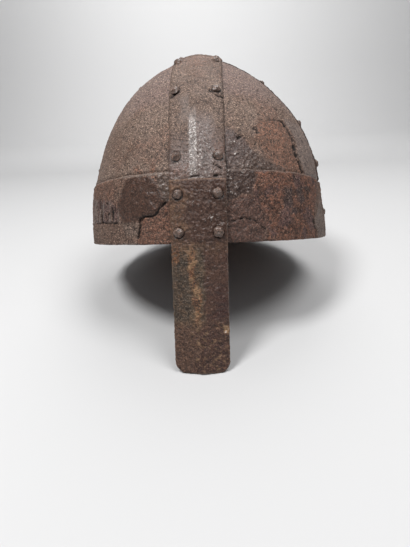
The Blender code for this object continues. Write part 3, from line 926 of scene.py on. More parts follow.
def centreRelief(points, across, seed):
    skin = plainSkin(points, seed)
    spots = frontSpots(points)
    front = points[..., 1] < 0
    low = ramp(spots[..., 1], 82, 58) * front
    flank = across * 1000 + clouds(points, 0.004, 3, seed + 10) * 1.2    # the fold's left flank, glossy and painted pale as a highlight
    crest = ramp(flank, -5.5, -3.5) * (1 - ramp(across * 1000, -0.1, 0.5))
    # painted highlight: a pale, glossy strip along the fold's left flank, flecked with dark
    worn = crest * ramp(spots[..., 1], 96, 80) * front
    tint(skin, worn, gloss=1.0, pale=1.0, rust=0.0, dark=0.0)
    tint(skin, worn * ramp(softNoise(points @ noiseTurn.T / 0.0009, seed + 16), 0.0, 0.45), dark=0.85)
    drift = clouds(points, 0.012, 3, seed + 14) * 5
    rightFlank = ramp(across * 1000, 0.2, 0.8) * (1 - ramp(across * 1000 + drift, 7, 14))
    rightFlank = rightFlank * ramp(spots[..., 1], 92, 78)
    leftFlank = ramp(across * 1000 + drift, -14, -8) * (1 - ramp(across * 1000, -5, -4))
    leftFlank = leftFlank * ramp(spots[..., 1], 106, 98) * ramp(spots[..., 1], 76, 88)
    grey = np.maximum(rightFlank, leftFlank * 0.7) * front
    skin["height"] += grey * clouds(points, 0.0024, 2, seed + 15) * 0.0004
    tint(skin, grey, gloss=0.8, pale=0.3, dark=0.2, rust=0.0)
    tint(skin, rightFlank * front, mauve=0.5)
    tint(skin, low * 0.9, gloss=0.9)
    tint(skin, low * 0.8, dark=0.35)
    tint(skin, low * 0.6, mauve=0.5)
    skin["height"] = skin["height"] * (1 - worn * 0.5) + low * clouds(points, 0.0034, 2, seed + 11) * 0.0003
    crusted = ramp(clouds(points, 0.02, 3, seed + 31) + low * 0.5, 0.3, 0.7) * low
    crust(skin, points, crusted * ramp(across * 1000, 0, 5), seed + 12, height=centreLook["crustHeight"])
    orange = insideOutline(spots, centreShapes["orange"]) + clouds(points, 0.006, 2, seed + 13)
    orange = ramp(orange, -0.5, 1.5) * front
    tint(skin, orange * 0.8, rust=0.6)
    collars(skin, points, ("centre_rivets", "crown_rivets"), seed + 40)
    for i, (line, width) in enumerate(centreShapes["cracks"]):
        crack(skin, points, line, width, centreLook["crackDepth"], seed + 20 + i, front)
    return skin


def makeCentreBand():
    look = centreLook
    first = frontAngle(helmet["centreLift"])
    steps = [look["cell"] / look["arcRadius"], look["backCell"] / look["arcRadius"]]
    angles = evenRows([first, math.pi / 2, math.pi - first], steps, look["ratio"])
    share = np.linspace(-1, 1, columnsFor(helmet["centreFoot"], look["cell"], look["ratio"]))
    rag = look["ragged"] * raggedEdges(angles * look["arcRadius"], share, 300)
    across = share[None] * (centreHalf(angles)[:, None] - look["ragged"] + rag)
    zero = np.zeros_like(across)
    start = np.stack([across, zero, zero], axis=-1)
    way = np.stack([zero, zero - np.cos(angles)[:, None], zero + np.sin(angles)[:, None]], axis=-1)
    points = domeHit(start, way)
    skin = centreRelief(points, across, 310)
    level = centreLevel(points)
    rise = keelRise(across, points[..., 2])
    edge = centreHalf(angles)[:, None] - np.abs(across)
    drop = look["edgeDrop"] * np.where(across < 0, look["edgeDropLeft"], 1.0)
    offset = level * layer + rise - edgeDrop(edge, look["edgeReach"], drop)
    outer, inner = sheetFaces(points, skin, offset, level * layer - helmet["sheet"] + rise, look["ratio"])
    piece = makeSheet("centre_band_iron", outer, inner, look["ratio"], skin, bandIron)
    finishPiece(piece, ["centre_band"])


makeCentreBand()


# The side bands, one each side, tucked under the centre band and behind the brow band.
sideLook = {
    "cell": 0.0009,
    "ratio": 6,
    "arcRadius": 0.13,
    "foot": 0.012,
    "ragged": 0.0005,
    "edgeReach": 0.001,
    "edgeDrop": 0.0002,
    "flaked": 0.15,
    "flakeDepth": 0.0004,
    "edgeShade": (0.5, 1.0),     # how dark the painted shade on the edges of the left and the right one is
}


def makeSideBand(side, name, seed):
    look = sideLook
    reach = math.atan2(helmet["rise"], helmet["centreCrown"] / 2 - helmet["overlap"])
    angles = evenRows([sideAngle(look["foot"]), reach], [look["cell"] / look["arcRadius"]], look["ratio"])
    share = np.linspace(-1, 1, columnsFor(helmet["sideWidth"], look["cell"], look["ratio"]))
    rag = raggedEdges(angles * look["arcRadius"], share, seed)
    across = share[None] * (helmet["sideWidth"] / 2 - look["ragged"] * (1 - rag))
    zero = np.zeros_like(across)
    start = np.stack([zero, across, zero], axis=-1)
    way = np.stack([zero + side * np.cos(angles)[:, None], zero, zero + np.sin(angles)[:, None]], axis=-1)
    points = domeHit(start, way)
    skin = plainSkin(points, seed + 5)
    scatteredFlakes(skin, points, seed + 7, look["flaked"], look["flakeDepth"])
    collars(skin, points, ("side_rivets",), seed + 9)
    clear = np.minimum(points[..., 2] - helmet["browHeight"],
                       np.abs(points[..., 0]) - helmet["centreCrown"] / 2)
    skin["height"] = skin["height"] * ramp(clear, -0.001, 0.001)
    edge = helmet["sideWidth"] / 2 - np.abs(across)
    leftShade, rightShade = look["edgeShade"]
    # painted shade on the band's edges, darker on the right one
    tint(skin, (1 - ramp(edge, 0.0005, 0.0015)) * (rightShade if side > 0 else leftShade), dark=1.0)
    offset = layer - edgeDrop(edge, look["edgeReach"], look["edgeDrop"])
    inside = np.full(offset.shape, layer - helmet["sheet"])
    outer, inner = sheetFaces(points, skin, offset, inside, look["ratio"])
    piece = makeSheet(name + "_iron", outer, inner, look["ratio"], skin, bandIron)
    finishPiece(piece, [name])


makeSideBand(-1, "side_band_left", 400)
makeSideBand(1, "side_band_right", 440)


# The brow band. Its front shows a raised patch on the left, scabs and red rust on the right.
browLook = {
    "cell": 0.00068,
    "backCell": 0.0014,
    "ratio": 6,
    "ragged": 0.0006,
    "edgeReach": 0.0022,
    "edgeDrop": 0.0010,
    "footReach": 0.0016,
    "footDrop": 0.0006,
    "turnRadius": 0.112,        # mean distance from the axis, for steps round it
    "fineTurn": 0.2,            # how far past the sides the fine steps go, in radians
    "frontEnd": -0.02,          # its worn front ends here, and the plain back begins
    "plainFrom": (-0.045, -0.025),    # the back's flakes fade in over this stretch
    "backFlaked": 0.32,
    "backFlakeDepth": 0.0005,
    "patchRise": 0.0005,
    "patchBumps": 0.0008,
    "patchEvens": 0.65,         # share of the plain unevenness that the patch hides
    "bareDepth": 0.00035,
    "grooveDepth": 0.0008,
    "grooveWidth": 0.9,         # share of the widths given below
    "splitDepth": 0.0006,
    "seamDepth": 0.0007,
    "crackDepth": 0.001,
    "heapHeight": 0.0007,
    "scabHeight": 0.0011,
}
browShapes = {    # outlines and lines on its front, in millimetres as the front view sees them
    "patch": [(-51.7, 46), (-52.8, 41.4), (-54.1, 38.3), (-58.2, 31.6), (-59.2, 27.7), (-57.2, 21.9),
              (-54.9, 17), (-49.1, 16), (-44.5, 17), (-40.7, 18.7), (-37.3, 19.9), (-32.2, 20), (-28.3, 21.2),
              (-25.9, 24.4), (-23.2, 27.7), (-23.5, 32.1), (-25.1, 35.2), (-26.5, 38.3), (-27.7, 41.8),
              (-31.3, 45.4), (-37.1, 47.9), (-43.3, 47.5), (-49.8, 46.6)],
    "patchShadowLine": [(-22, 28.6), (-26.4, 24.1), (-28.5, 20.8), (-32.3, 19.5), (-37.3, 19.7), (-40.4, 18),
                   (-41.4, 15.7), (-41.1, 12.6), (-42.2, 9.6), (-43.3, 5.3)],
    "bareFoot": [(-44.5, 0), (-44.5, -2), (-17, -2), (-17, 29)],
    "ragged": [(-56, 16.5), (-42, 16), (-43, 5.7), (-54, 6.5)],
    "heap": [(-28, 49.5), (-17, 51), (-17, 29), (-22.5, 28.4), (-23.9, 35.1), (-26.6, 39.8)],
    "grooved": [(-92, 38), (-66, 33), (-58.5, 27), (-56, 16), (-92, 17)],
    "grooves": [([(-78.3, 35.4), (-78.5, 28.6)], 1.7), ([(-76.8, 26.3), (-76.8, 17.3)], 1.5),
                ([(-70.8, 31.9), (-69, 30.6)], 1.1), ([(-72.5, 23.8), (-71.2, 18.7)], 1.1),
                ([(-68.7, 23.9), (-68.3, 17.7)], 1.2), ([(-64.4, 27.3), (-64.7, 18.3)], 1.5),
                ([(-61.2, 29.4), (-61.8, 24.6)], 1.0), ([(-84, 17.3), (-60, 16.2)], 0.8)],
    "scab": [(16.5, 51), (37.8, 51), (37.6, 41.8), (35.4, 31.8), (29.4, 32.7), (23, 29.2), (15.8, 28.4)],
    "low": [(15, 28.4), (23, 29.2), (29.4, 32.3), (35.3, 31.6), (39.4, 25.4), (44.9, 19), (44.7, 9.8),
            (42.7, -2), (15, -2)],
    "lowSplit": [(20.7, 14.1), (29, 16.5), (36.3, 15.5), (39.5, 12.2), (43.7, 8.9)],
    "red": [(37, 50), (95, 50), (90, 30), (84, 14), (89, -2), (44, -2), (45, 18), (36, 31)],
    "blotches": [(61.6, 34, 3.2), (61.9, 28.5, 3.4), (70.6, 35.7, 2.6), (78.3, 38.3, 1.6), (65.5, 20.9, 2.4),
                 (74, 29.9, 2.2), (52, 41, 1.4)],
    "orange": [(47.7, 15), (49.6, 3)],
    "seam": [(83.5, 16.6), (84.6, 13), (85.8, 8.8), (89, 5.1)],
    "end": [(89, 4.5), (85.8, 8.8), (84.5, 16), (88.2, 20), (91.8, 26), (96, 31), (106, 46)],
}


def browRelief(points, seed):
    look, shapes = browLook, browShapes
    skin = plainSkin(points, seed, 1.5)
    spots = frontSpots(points)
    front = points[..., 1] < look["frontEnd"]
    left, right = front & (spots[..., 0] < 0), front & (spots[..., 0] > 0)
    wander = clouds(points, 0.006, 3, seed + 1) * 1.6
    roughFloor = clouds(points, 0.0028, 3, seed + 2)
    bumps = clouds(points, 0.0046, 2, seed + 6)
    fray = wander * 0.4 + clouds(points, 0.0018, 2, seed + 4) * 0.7

    ragged = ramp(insideOutline(spots, shapes["ragged"]) + wander, -1, 1.5) * left
    skin["height"] += ragged * clouds(points, 0.0026, 2, seed + 14) * 0.0008
    tint(skin, ragged, pale=0.6)
    tint(skin, ragged * ramp(clouds(points, 0.0034, 2, seed + 16), 0.0, 0.4), dark=0.8)
    patch = ramp(insideOutline(spots, shapes["patch"]) + fray, -0.4, 0.5) * left
    raised = look["patchRise"] + bumps * look["patchBumps"]
    skin["height"] = skin["height"] * (1 - patch * look["patchEvens"]) + patch * raised
    tint(skin, patch, dark=0.7, gloss=0.75, rust=0.5, pale=0.0)
    bare = insideOutline(spots, shapes["patchShadowLine"] + shapes["bareFoot"]) + fray * 0.5
    bare = ramp(bare, -0.3, 0.4) * left * (1 - patch)
    skin["height"] += bare * (roughFloor * 0.0005 - look["bareDepth"])
    tint(skin, bare, rust=0.8)
    heap = ramp(insideOutline(spots, shapes["heap"]) + wander, -0.8, 0.8) * left
    crust(skin, points, heap, seed + 12, height=look["heapHeight"])
    tint(skin, heap * 0.7, pale=0.9)
    tint(skin, heap * 0.6, dark=0.25)
    # the groove along the patch's lower right edge, painted black as the raised patch's painted shadow
    depth, split = look["crackDepth"], shapes["patchShadowLine"]
    crack(skin, points, split, 0.8, depth, seed + 17, left, broken=False)
    crack(skin, points, split[5:], 1.5, depth, seed + 29, left, broken=False)    # wider in its lower half
    for i, (groove, width) in enumerate(shapes["grooves"]):
        width = width * look["grooveWidth"]
        crack(skin, points, groove, width, look["grooveDepth"], seed + 18 + i, left, broken=False)
    streaks = clouds(points * np.array([1, 1, 0.16]), 0.0026, 2, seed + 5)
    grooved = ramp(insideOutline(spots, shapes["grooved"]) + wander, -1, 2) * left * (1 - patch)
    grooved = grooved * (1 - skin["dark"])
    tint(skin, grooved, mauve=0.8)
    grooved = grooved * ramp(-streaks, -0.1, 0.15)
    skin["height"] += grooved * 0.0004
    tint(skin, grooved, pale=1.0, gloss=0.6)

    red = ramp(insideOutline(spots, shapes["red"]) + wander * 1.4, -1.5, 2) * right
    skin["height"] += red * roughFloor * 0.0005
    tint(skin, red, rust=1.0, pale=0.0)
    tint(skin, red * ramp(clouds(points, 0.0042, 3, seed + 31), 0.05, 0.4), dark=0.75)
    tint(skin, red * ramp(clouds(points, 0.009, 3, seed + 35), 0.05, 0.35), mauve=0.8)
    low = ramp(insideOutline(spots, shapes["low"]) + wander, -1.5, 2) * right
    skin["height"] += low * clouds(points, 0.0042, 3, seed + 8) * 0.0006
    tint(skin, low, dark=0.4, mauve=0.4, rust=0.65, gloss=0.5)
    scab = ramp(insideOutline(spots, shapes["scab"]) + wander * 0.7, -0.8, 1.0) * right
    crust(skin, points, scab, seed + 7, height=look["scabHeight"], size=0.0022)
    tint(skin, scab * 0.4, pale=0.6)
    tint(skin, scab, mauve=0.6)
    for x, z, reach in shapes["blotches"]:
        edge = wander * 1.6 + clouds(points, 0.0022, 2, seed + 15) * 2
        blot = 1 - ramp(np.linalg.norm(spots - np.array([x, z]), axis=-1) + edge, reach * 0.6, reach * 1.7)
        tint(skin, blot * right, dark=0.6, mauve=1.0, rust=0.0)
    orange = 1 - ramp(lineDistance(spots, shapes["orange"]) + wander * 2, 0.5, 3.5)
    tint(skin, orange * right, rust=1.0, dark=0.0)
    end = ramp(rightOf(spots, shapes["end"]) + fray * 0.5, 0, 1.2) * front
    tint(skin, end, pale=0.8, rust=0.0, mauve=0.6, gloss=0.2)
    tint(skin, end * ramp(bumps + wander * 0.2, 0.1, 0.5), dark=0.3)
    crack(skin, points, shapes["seam"], 1.1, look["seamDepth"], seed + 27, right)
    crack(skin, points, shapes["lowSplit"], 0.9, look["splitDepth"], seed + 28, right)

    # painted highlight along the top edge: pale, glossy and clean, wider over the left front
    deep = 0.9 + 1.2 * left * ramp(-spots[..., 0], 15, 22) * ramp(spots[..., 0], -60, -50)
    rim = 1 - ramp((helmet["browHeight"] - points[..., 2]) * 1000 + wander * 0.5, deep, deep + 1.1)
    tint(skin, rim * 0.9, pale=1.0)
    tint(skin, rim * front, gloss=0.8)
    tint(skin, rim * 0.7, rust=0.0)
    tint(skin, rim * 0.8, dark=0.0)
    golden = left * (1 - ramp(points[..., 2] * 1000 + wander, 1.2, 3)) * ramp(-spots[..., 0], 42, 45)
    golden = golden * ramp(spots[..., 0], -60, -56)
    tint(skin, golden, pale=1.0, rust=0.7, dark=0.0)
    collars(skin, points, ("foot_rivets",), seed + 60)
    backSkin = {name: value.copy() for name, value in skin.items()}
    scatteredFlakes(backSkin, points, seed + 90, look["backFlaked"], look["backFlakeDepth"])
    share = ramp(points[..., 1], *look["plainFrom"])
    for key in skin:
        skin[key] = skin[key] * (1 - share) + backSkin[key] * share
    return skin


def makeBrowBand():
    look = browLook
    turn = [0, math.pi / 2 + look["fineTurn"], math.pi]
    radius = look["turnRadius"]
    half = evenRows(turn, [look["cell"] / radius, look["backCell"] / radius], look["ratio"])
    headings = np.concatenate([half, 2 * math.pi - half[::-1][1:-1]])
    rows = columnsFor(helmet["browHeight"], look["cell"], look["ratio"])
    ring = np.stack([np.sin(headings), -np.cos(headings), headings * 0], axis=-1) * radius
    topRag = clouds(ring, 0.008, 3, 500) * look["ragged"] - look["ragged"]
    footRag = clouds(ring, 0.008, 3, 510) * look["ragged"] * 0.6 + look["ragged"] * 0.6
    share = np.linspace(0, 1, rows)[:, None]
    heights = footRag * (1 - share) + (helmet["browHeight"] + topRag) * share
    out = shareAt(heights)
    points = np.stack([helmet["halfWidth"] * out * np.sin(headings),
                       -helmet["halfDepth"] * out * np.cos(headings), heights], axis=-1)
    skin = browRelief(points, 520)
    level = 1 + stepUp(np.abs(points[..., 1]), sideClear)
    under = np.abs(points[..., 0]) < helmet["centreFoot"] / 2 - 0.001
    covered = under & (heights > helmet["centreLift"])
    skin["height"] = np.where(covered, np.minimum(skin["height"], 0), skin["height"])
    offset = level * layer - edgeDrop(heights[-1:] - heights, look["edgeReach"], look["edgeDrop"])
    offset = offset - edgeDrop(heights - heights[:1], look["footReach"], look["footDrop"])
    outer, inner = sheetFaces(points, skin, offset, level * layer - helmet["sheet"], look["ratio"])
    piece = makeSheet("brow_band_iron", outer, inner, look["ratio"], skin, browIron, closed=True)
    finishPiece(piece, ["brow_band"])


makeBrowBand()


# The nasal, over the centre band at the brow and straight down to a round tip.
nasalLook = {
    "cell": 0.0006,
    "ratio": 6,
    "corner": 0.008,
    "ragged": 0.0005,
    "edgeReach": 0.002,
    "edgeDrop": 0.0009,
    "rim": 0.0006,              # width of the paler rim, a painted highlight along the edges
    "crustHeight": 0.0008,
    "chipDepth": 0.0003,
    "streak": [(-1.8, -50), (-2.6, -30), (-6, -18), (-4, -8)],    # its middle, bent to the left
    "orange": [(-19, 1), (-12, -1), (-12.5, -12), (-19, -14)],
    "line": [(0, -64), (0.4, -74), (0, -87)],
    "chip": [(13.7, -54.5), (17.7, -54.8), (17.6, -60.3), (14.2, -60.1)],
}


def nasalRelief(points, across, heights, seed):
    look = nasalLook
    skin = plainSkin(points, seed, 1.7)
    spots = np.stack([across, heights], axis=-1) * 1000
    wander = clouds(points, 0.006, 3, seed + 1)
    upper = ramp(spots[..., 1], -6, 4)
    crust(skin, points, upper * ramp(wander, -0.6, 0.1), seed + 2, height=look["crustHeight"], size=0.0036)
    tint(skin, upper * 0.7, dark=0.4)
    tint(skin, upper, mauve=1.0, pale=0.1)
    skin["height"] += upper * clouds(points, 0.0028, 2, seed + 14) * 0.0003
    sandy = upper * ramp(-spots[..., 0] + wander * 9, 4, 11)
    tint(skin, sandy, mauve=0.55, rust=0.7, dark=0.1, gloss=0.3)
    tint(skin, sandy * ramp(clouds(points, 0.0018, 2, seed + 15), 0.1, 0.5), pale=0.3)
    tint(skin, upper * ramp(clouds(points, 0.009, 2, seed + 9), 0.0, 0.4), rust=0.4)
    collars(skin, points, ("brow_rivets_front",), seed + 30)
    foot = ramp(spots[..., 1], -48, -58)
    skin["height"] += foot * clouds(points, 0.0036, 3, seed + 3) * 0.0006
    tint(skin, foot, rust=0.45, mauve=0.75, dark=0.1)
    tint(skin, foot * ramp(clouds(points, 0.0018, 2, seed + 11), 0.1, 0.5), pale=0.5)
    tint(skin, foot * ramp(-spots[..., 0] + wander * 5, 2, 8), pale=0.1)
    middle = (1 - upper) * (1 - foot)
    streak = (1 - ramp(np.abs(rightOf(spots, look["streak"])) + wander * 2.4, 1.4, 3.6)) * middle
    tint(skin, streak, rust=1.0)
    tint(skin, streak * ramp(clouds(points, 0.0024, 2, seed + 7), 0.0, 0.35), pale=0.75)
    tint(skin, streak * 0.8, dark=0.0)
    grey = ramp(-spots[..., 0] - 6.2 + wander * 2, 0, 2.5) * middle * ramp(spots[..., 1], -12, -17)
    tint(skin, grey, pale=0.0, dark=0.15, mauve=0.0)
    tint(skin, grey * 0.95, rust=0.0)
    purple = ramp(spots[..., 0] - 1.0 + wander * 2.5, 0, 3) * middle
    tint(skin, purple, dark=0.25, mauve=1.0, gloss=0.74)
    flattened = points * np.array([1, 1, 2.4])
    tint(skin, purple * ramp(clouds(flattened, 0.0026, 2, seed + 12), 0.2, 0.6), pale=0.12)
    skin["height"] += purple * clouds(flattened, 0.004, 2, seed + 8) * 0.0005
    orange = ramp(insideOutline(spots, look["orange"]) + wander * 2, -1, 1.5)
    tint(skin, orange, rust=1.0, dark=0.0)
    line = 1 - ramp(lineDistance(spots, look["line"]) + wander * 0.5, 0.3, 1.2)
    tint(skin, line, rust=1.0, dark=0.55)
    chip = ramp(insideOutline(spots, look["chip"]) + wander, -0.5, 0.6)
    skin["height"] -= chip * look["chipDepth"]
    tint(skin, chip, pale=1.0, gloss=1.0)
    return skin


def makeNasal():
    look = nasalLook
    drop, corner = helmet["nasalDrop"], look["corner"]
    rowHeights = evenRows([helmet["nasalTop"], 0, -drop], [-look["cell"], -look["cell"]], look["ratio"])
    share = np.linspace(-1, 1, columnsFor(helmet["nasalWidth"], look["cell"], look["ratio"]))
    into = np.clip((corner - (rowHeights + drop)) / corner, 0, 1)
    halves = helmet["nasalWidth"] / 2 - corner * (1 - np.sqrt(np.clip(1 - into ** 2, 0.0, 1)))
    rag = raggedEdges(rowHeights, share, 600)
    across = share[None] * (halves[:, None] - look["ragged"] * (1 - rag))
    heights = np.broadcast_to(rowHeights[:, None], across.shape)
    level = np.clip(heights, 0, None)
    start = np.stack([across, across * 0, level], axis=-1)
    points = domeHit(start, np.broadcast_to([0.0, -1.0, 0.0], start.shape))
    normals = domeNormal(points)
    shift = np.stack([across * 0, across * 0, heights - level], axis=-1)    # down to the straight part
    skin = nasalRelief(points + shift, across, heights, 610)
    ends = np.minimum(helmet["nasalTop"] - heights, heights + drop)
    edge = np.minimum(halves[:, None] - np.abs(across), ends)
    # painted highlight: a pale, glossy rim along the edges
    rim = 1 - ramp(edge, look["rim"], look["rim"] * 2)
    tint(skin, rim, pale=0.3, dark=0.0)
    tint(skin, rim * 0.8, gloss=0.85)
    rise = keelRise(across)
    offset = 3 * layer + rise - edgeDrop(edge, look["edgeReach"], look["edgeDrop"]) + skin["height"]
    outer = points + normals * offset[..., None] + shift
    inner = points + normals * (3 * layer - helmet["sheet"] + rise)[..., None] + shift
    inner = inner[::look["ratio"], ::look["ratio"]]
    piece = makeSheet("nasal_iron", outer, inner, look["ratio"], skin, nasalIron)
    finishPiece(piece, ["nasal"])


makeNasal()


# Rivets, scattered on their seats by geometry nodes.
def randomNumber(tree, low, high, seed):
    node = tree.nodes.new("FunctionNodeRandomValue")
    node.data_type = "FLOAT"
    node.inputs[2].default_value = low
    node.inputs[3].default_value = high
    node.inputs["Seed"].default_value = seed
    return node.outputs[1]


def rivetTree():
    tree = bpy.data.node_groups.new("rivet row", "GeometryNodeTree")
    sizes = ("Head Radius", "Head Rise", "Grip", "Tail Radius", "Tail Rise", "Shank Radius", "Wear")
    tree.interface.new_socket(name="Geometry", in_out="INPUT", socket_type="NodeSocketGeometry")
    for label in sizes:
        tree.interface.new_socket(name=label, in_out="INPUT", socket_type="NodeSocketFloat")
    tree.interface.new_socket(name="Iron", in_out="INPUT", socket_type="NodeSocketMaterial")
    tree.interface.new_socket(name="Geometry", in_out="OUTPUT", socket_type="NodeSocketGeometry")
    source = tree.nodes.new("NodeGroupInput").outputs
    target = tree.nodes.new("NodeGroupOutput")
    link = tree.links.new

    grid = tree.nodes.new("GeometryNodeMeshGrid")
    grid.inputs["Size X"].default_value = 1
    grid.inputs["Size Y"].default_value = 1
    grid.inputs["Vertices X"].default_value = rivetLook["around"] + 1
    grid.inputs["Vertices Y"].default_value = rivetLook["down"] + 1
    split = tree.nodes.new("ShaderNodeSeparateXYZ")
    link(tree.nodes.new("GeometryNodeInputPosition").outputs[0], split.inputs[0])
    turn = times(tree, split.outputs[0], 2 * math.pi)
    down = mathNode(tree, "ADD", split.outputs[1], 0.5)
    headEnd, neckEnd, shankEnd, flareEnd = rivetLook["profileEnds"]

    def sine(angle):
        return mathNode(tree, "SINE", angle, 0)

    def cosine(angle):
        return mathNode(tree, "COSINE", angle, 0)

    def minus(first, second):
        return mathNode(tree, "SUBTRACT", first, second)

    def plus(first, second):
        return mathNode(tree, "ADD", first, second)

    headTurn = times(tree, spread(tree, down, 0.0, headEnd), math.pi / 2)
    headOut = times(tree, sine(headTurn), source["Head Radius"])
    headUp = times(tree, cosine(headTurn), source["Head Rise"])
    closing = times(tree, spread(tree, down, flareEnd, 1.0), math.pi / 2)
    neck = times(tree, spread(tree, down, headEnd, neckEnd),
                 minus(source["Head Radius"], source["Shank Radius"]))
    flare = times(tree, spread(tree, down, shankEnd, flareEnd),
                  minus(source["Tail Radius"], source["Shank Radius"]))
    tailOut = times(tree, minus(cosine(closing), 1.0), source["Tail Radius"])
    radius = plus(plus(minus(headOut, neck), flare), tailOut)
    sink = times(tree, spread(tree, down, neckEnd, shankEnd), source["Grip"])
    height = minus(minus(headUp, sink), times(tree, sine(closing), source["Tail Rise"]))
    spot = tree.nodes.new("ShaderNodeCombineXYZ")
    link(times(tree, radius, cosine(turn)), spot.inputs[0])
    link(times(tree, radius, sine(turn)), spot.inputs[1])
    link(height, spot.inputs[2])
    shape = tree.nodes.new("GeometryNodeSetPosition")
    link(grid.outputs["Mesh"], shape.inputs["Geometry"])
    link(spot.outputs[0], shape.inputs["Position"])
    weld = tree.nodes.new("GeometryNodeMergeByDistance")
    weld.inputs["Distance"].default_value = 0.00001
    link(shape.outputs[0], weld.inputs["Geometry"])

    facing = tree.nodes.new("GeometryNodeInputNamedAttribute")
    facing.data_type = "FLOAT_VECTOR"
    facing.inputs["Name"].default_value = "facing"
    aim = tree.nodes.new("FunctionNodeAlignRotationToVector")
    aim.axis = "Z"
    link(facing.outputs["Attribute"], aim.inputs["Vector"])
    spin = randomNumber(tree, 0, 2 * math.pi, 5)
    rolled = tree.nodes.new("FunctionNodeAxisAngleToRotation")
    rolled.inputs["Axis"].default_value = (0, 0, 1)
    link(spin, rolled.inputs["Angle"])
    turned = tree.nodes.new("FunctionNodeRotateRotation")
    turned.rotation_space = "LOCAL"
    link(aim.outputs[0], turned.inputs["Rotation"])
    link(rolled.outputs[0], turned.inputs["Rotate By"])
    size = randomNumber(tree, *rivetLook["sizes"], 9)
    place = tree.nodes.new("GeometryNodeInstanceOnPoints")
    link(source["Geometry"], place.inputs["Points"])
    link(weld.outputs[0], place.inputs["Instance"])
    link(turned.outputs[0], place.inputs["Rotation"])
    link(size, place.inputs["Scale"])
    real = tree.nodes.new("GeometryNodeRealizeInstances")
    link(place.outputs[0], real.inputs[0])

    noise = tree.nodes.new("ShaderNodeTexNoise")
    noise.inputs["Scale"].default_value = rivetLook["wearScale"]
    noise.inputs["Detail"].default_value = 3
    centred = tree.nodes.new("ShaderNodeVectorMath")
    centred.operation = "SUBTRACT"
    centred.inputs[1].default_value = (0.5, 0.5, 0.5)
    link(noise.outputs["Color"], centred.inputs[0])
    scaled = tree.nodes.new("ShaderNodeVectorMath")
    scaled.operation = "SCALE"
    link(centred.outputs[0], scaled.inputs[0])
    link(times(tree, source["Wear"], 4.0), scaled.inputs["Scale"])
    wear = tree.nodes.new("GeometryNodeSetPosition")
    link(real.outputs[0], wear.inputs["Geometry"])
    link(scaled.outputs[0], wear.inputs["Offset"])
    smooth = tree.nodes.new("GeometryNodeSetShadeSmooth")
    link(wear.outputs[0], smooth.inputs[0])
    paint = tree.nodes.new("GeometryNodeSetMaterial")
    link(smooth.outputs[0], paint.inputs["Geometry"])
    link(source["Iron"], paint.inputs["Material"])
    link(paint.outputs[0], target.inputs[0])
    return tree


rivetNodes = rivetTree()


def rivetRow(name, seats, grip):
    mesh = bpy.data.meshes.new(name)
    places = np.array([seat["point"] + seat["normal"] * seat["up"] for seat in seats])
    mesh.from_pydata(toRest(leaning(places)).tolist(), [], [])
    facing = np.array([seat["normal"] for seat in seats]) @ restTurn.T
    facingMark = mesh.attributes.new("facing", "FLOAT_VECTOR", "POINT")
    facingMark.data.foreach_set("vector", facing.reshape(-1).astype(np.float32))
    holder = addObject(name + "_seats", mesh)
    modifier = holder.modifiers.new("rivets", "NODES")
    modifier.node_group = rivetNodes
    values = {"Head Radius": rivetLook["headRadius"], "Head Rise": rivetLook["headRise"], "Grip": grip,
              "Tail Radius": rivetLook["tailRadius"], "Tail Rise": rivetLook["tailRise"],
              "Shank Radius": rivetLook["shankRadius"], "Wear": rivetLook["wear"], "Iron": rivetIron}
    for item in rivetNodes.interface.items_tree:
        if item.in_out == "INPUT" and item.name in values:
            modifier[item.identifier] = values[item.name]
    bpy.context.view_layer.update()
    shown = holder.evaluated_get(bpy.context.evaluated_depsgraph_get())
    plain = bpy.data.meshes.new_from_object(shown)
    plain.name = name
    bpy.data.objects.remove(holder)
    faceOutwards(plain)
    for mark, value in rivetLook["marks"].items():
        plain.attributes.new(mark, "FLOAT", "POINT").data.foreach_set("value", [value] * len(plain.vertices))
    print(name, "made:", len(seats), "rivets")
    finishPiece(addObject(name, plain), [seat["node"] for seat in seats])


def makeRivets():
    for row, below in rivetRows.items():
        seats = [seat for seat in rivetSeats if seat["row"] == row]
        rivetRow(row, seats, below * layer)


makeRivets()


# Studio: a pale sweep, soft light from above, and the camera.
studio = {
    "halfWidth": 2.6,
    "front": -1.6,
    "bend": 1.1,                # where the floor starts to curve up
    "bendRadius": 0.7,
    "top": 2.6,
    "floorTone": (0.655, 0.655, 0.655),
    "floorMottle": 0.985,       # its darkest spots, as a share of that tone
    "worldTone": (0.95, 0.95, 0.98),
    "worldStrength": 0.20,
    "lamps": {    # place, aim, size and power; the first three places are in the upright helmet's space
        "key softbox": ((-0.38, -0.7, 0.9), (0, -0.1, 0.1), 0.34, 9.8),
        "fill softbox": ((0.42, -0.6, 0.95), (0, -0.1, 0.1), 0.6, 6.6),
        "top softbox": ((0.05, 0.3, 1.1), (0, 0, 0.1), 0.7, 3.5),
        "backdrop light": ((-0.15, 0.7, 1.1), (-0.15, 1.8, 1.0), 0.8, 16),
    },
}


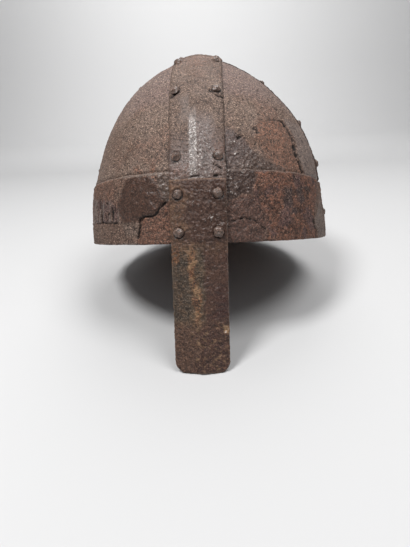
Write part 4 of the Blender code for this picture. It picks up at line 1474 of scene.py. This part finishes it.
def makeSweep():
    turns = np.linspace(0, math.pi / 2, 25)
    profile = [(studio["front"], 0.0)]
    bend, radius = studio["bend"], studio["bendRadius"]
    profile += [(bend + radius * math.sin(turn), radius * (1 - math.cos(turn))) for turn in turns]
    profile.append((bend + radius, studio["top"]))
    verts = [(side * studio["halfWidth"], y, z) for y, z in profile for side in (-1, 1)]
    faces = [(2 * i, 2 * i + 1, 2 * i + 3, 2 * i + 2) for i in range(len(profile) - 1)]
    mesh = bpy.data.meshes.new("studio_sweep")
    mesh.from_pydata(verts, [], faces)
    mesh.shade_smooth()
    paper = bpy.data.materials.new("pale paper")
    paper.use_nodes = True
    tree = paper.node_tree
    shader = tree.nodes["Principled BSDF"]
    place = tree.nodes.new("ShaderNodeTexCoord").outputs["Object"]
    cloud = noiseNode(tree, place, 3.0, 2)
    darker = tuple(part * studio["floorMottle"] for part in studio["floorTone"])
    tone = mixColour(tree, cloud, darker, studio["floorTone"])
    tree.links.new(tone, shader.inputs["Base Color"])
    shader.inputs["Roughness"].default_value = 0.85
    shader.inputs["Specular IOR Level"].default_value = 0.1
    mesh.materials.append(paper)
    sweep = addObject("studio_sweep", mesh)


def addLight(name, place, aim, size, power):
    light = bpy.data.lights.new(name, "AREA")
    light.shape = "DISK"
    light.size = size
    light.energy = power
    lamp = addObject(name, light)
    lamp.location = place
    lamp.rotation_euler = (Vector(aim) - Vector(place)).to_track_quat("-Z", "Y").to_euler()


def makeLights():
    world = bpy.data.worlds.new("studio")
    world.use_nodes = True
    sky = world.node_tree.nodes["Background"]
    sky.inputs["Color"].default_value = (*studio["worldTone"], 1)
    sky.inputs["Strength"].default_value = studio["worldStrength"]
    bpy.context.scene.world = world
    for name, (place, aim, size, power) in studio["lamps"].items():
        overHelmet = name != "backdrop light"
        addLight(name, toRest(np.array(place)) if overHelmet else place, aim, size, power)


view = {
    "place": (0.020535, -0.385633, 0.008678),    # in the upright helmet's space
    "yaw": -0.06627,
    "pitch": -0.10739,
    "roll": -0.02966,
    "lens": 25.93,
    "sensor": 36,
}


def makeCamera():
    yaw, pitch, roll = view["yaw"], view["pitch"], view["roll"]
    ahead = Vector((math.sin(yaw) * math.cos(pitch), math.cos(yaw) * math.cos(pitch), math.sin(pitch)))
    level = Vector((math.cos(yaw), -math.sin(yaw), 0))
    above = level.cross(ahead)
    right = level * math.cos(roll) + above * math.sin(roll)
    up = above * math.cos(roll) - level * math.sin(roll)
    turn = Matrix(restTurn.tolist()) @ Matrix((right, up, -ahead)).transposed()
    camera = bpy.data.cameras.new("camera")
    camera.lens = view["lens"]
    camera.sensor_width = view["sensor"]
    camera.clip_start = 0.01
    eye = addObject("camera", camera)
    place = Vector(toRest(np.array(view["place"])))
    eye.matrix_world = Matrix.Translation(place) @ turn.to_4x4()
    bpy.context.scene.camera = eye


bpy.context.scene.view_settings.view_transform = "Standard"    # plain photo colours
makeSweep()
makeLights()
makeCamera()
print("studio made")
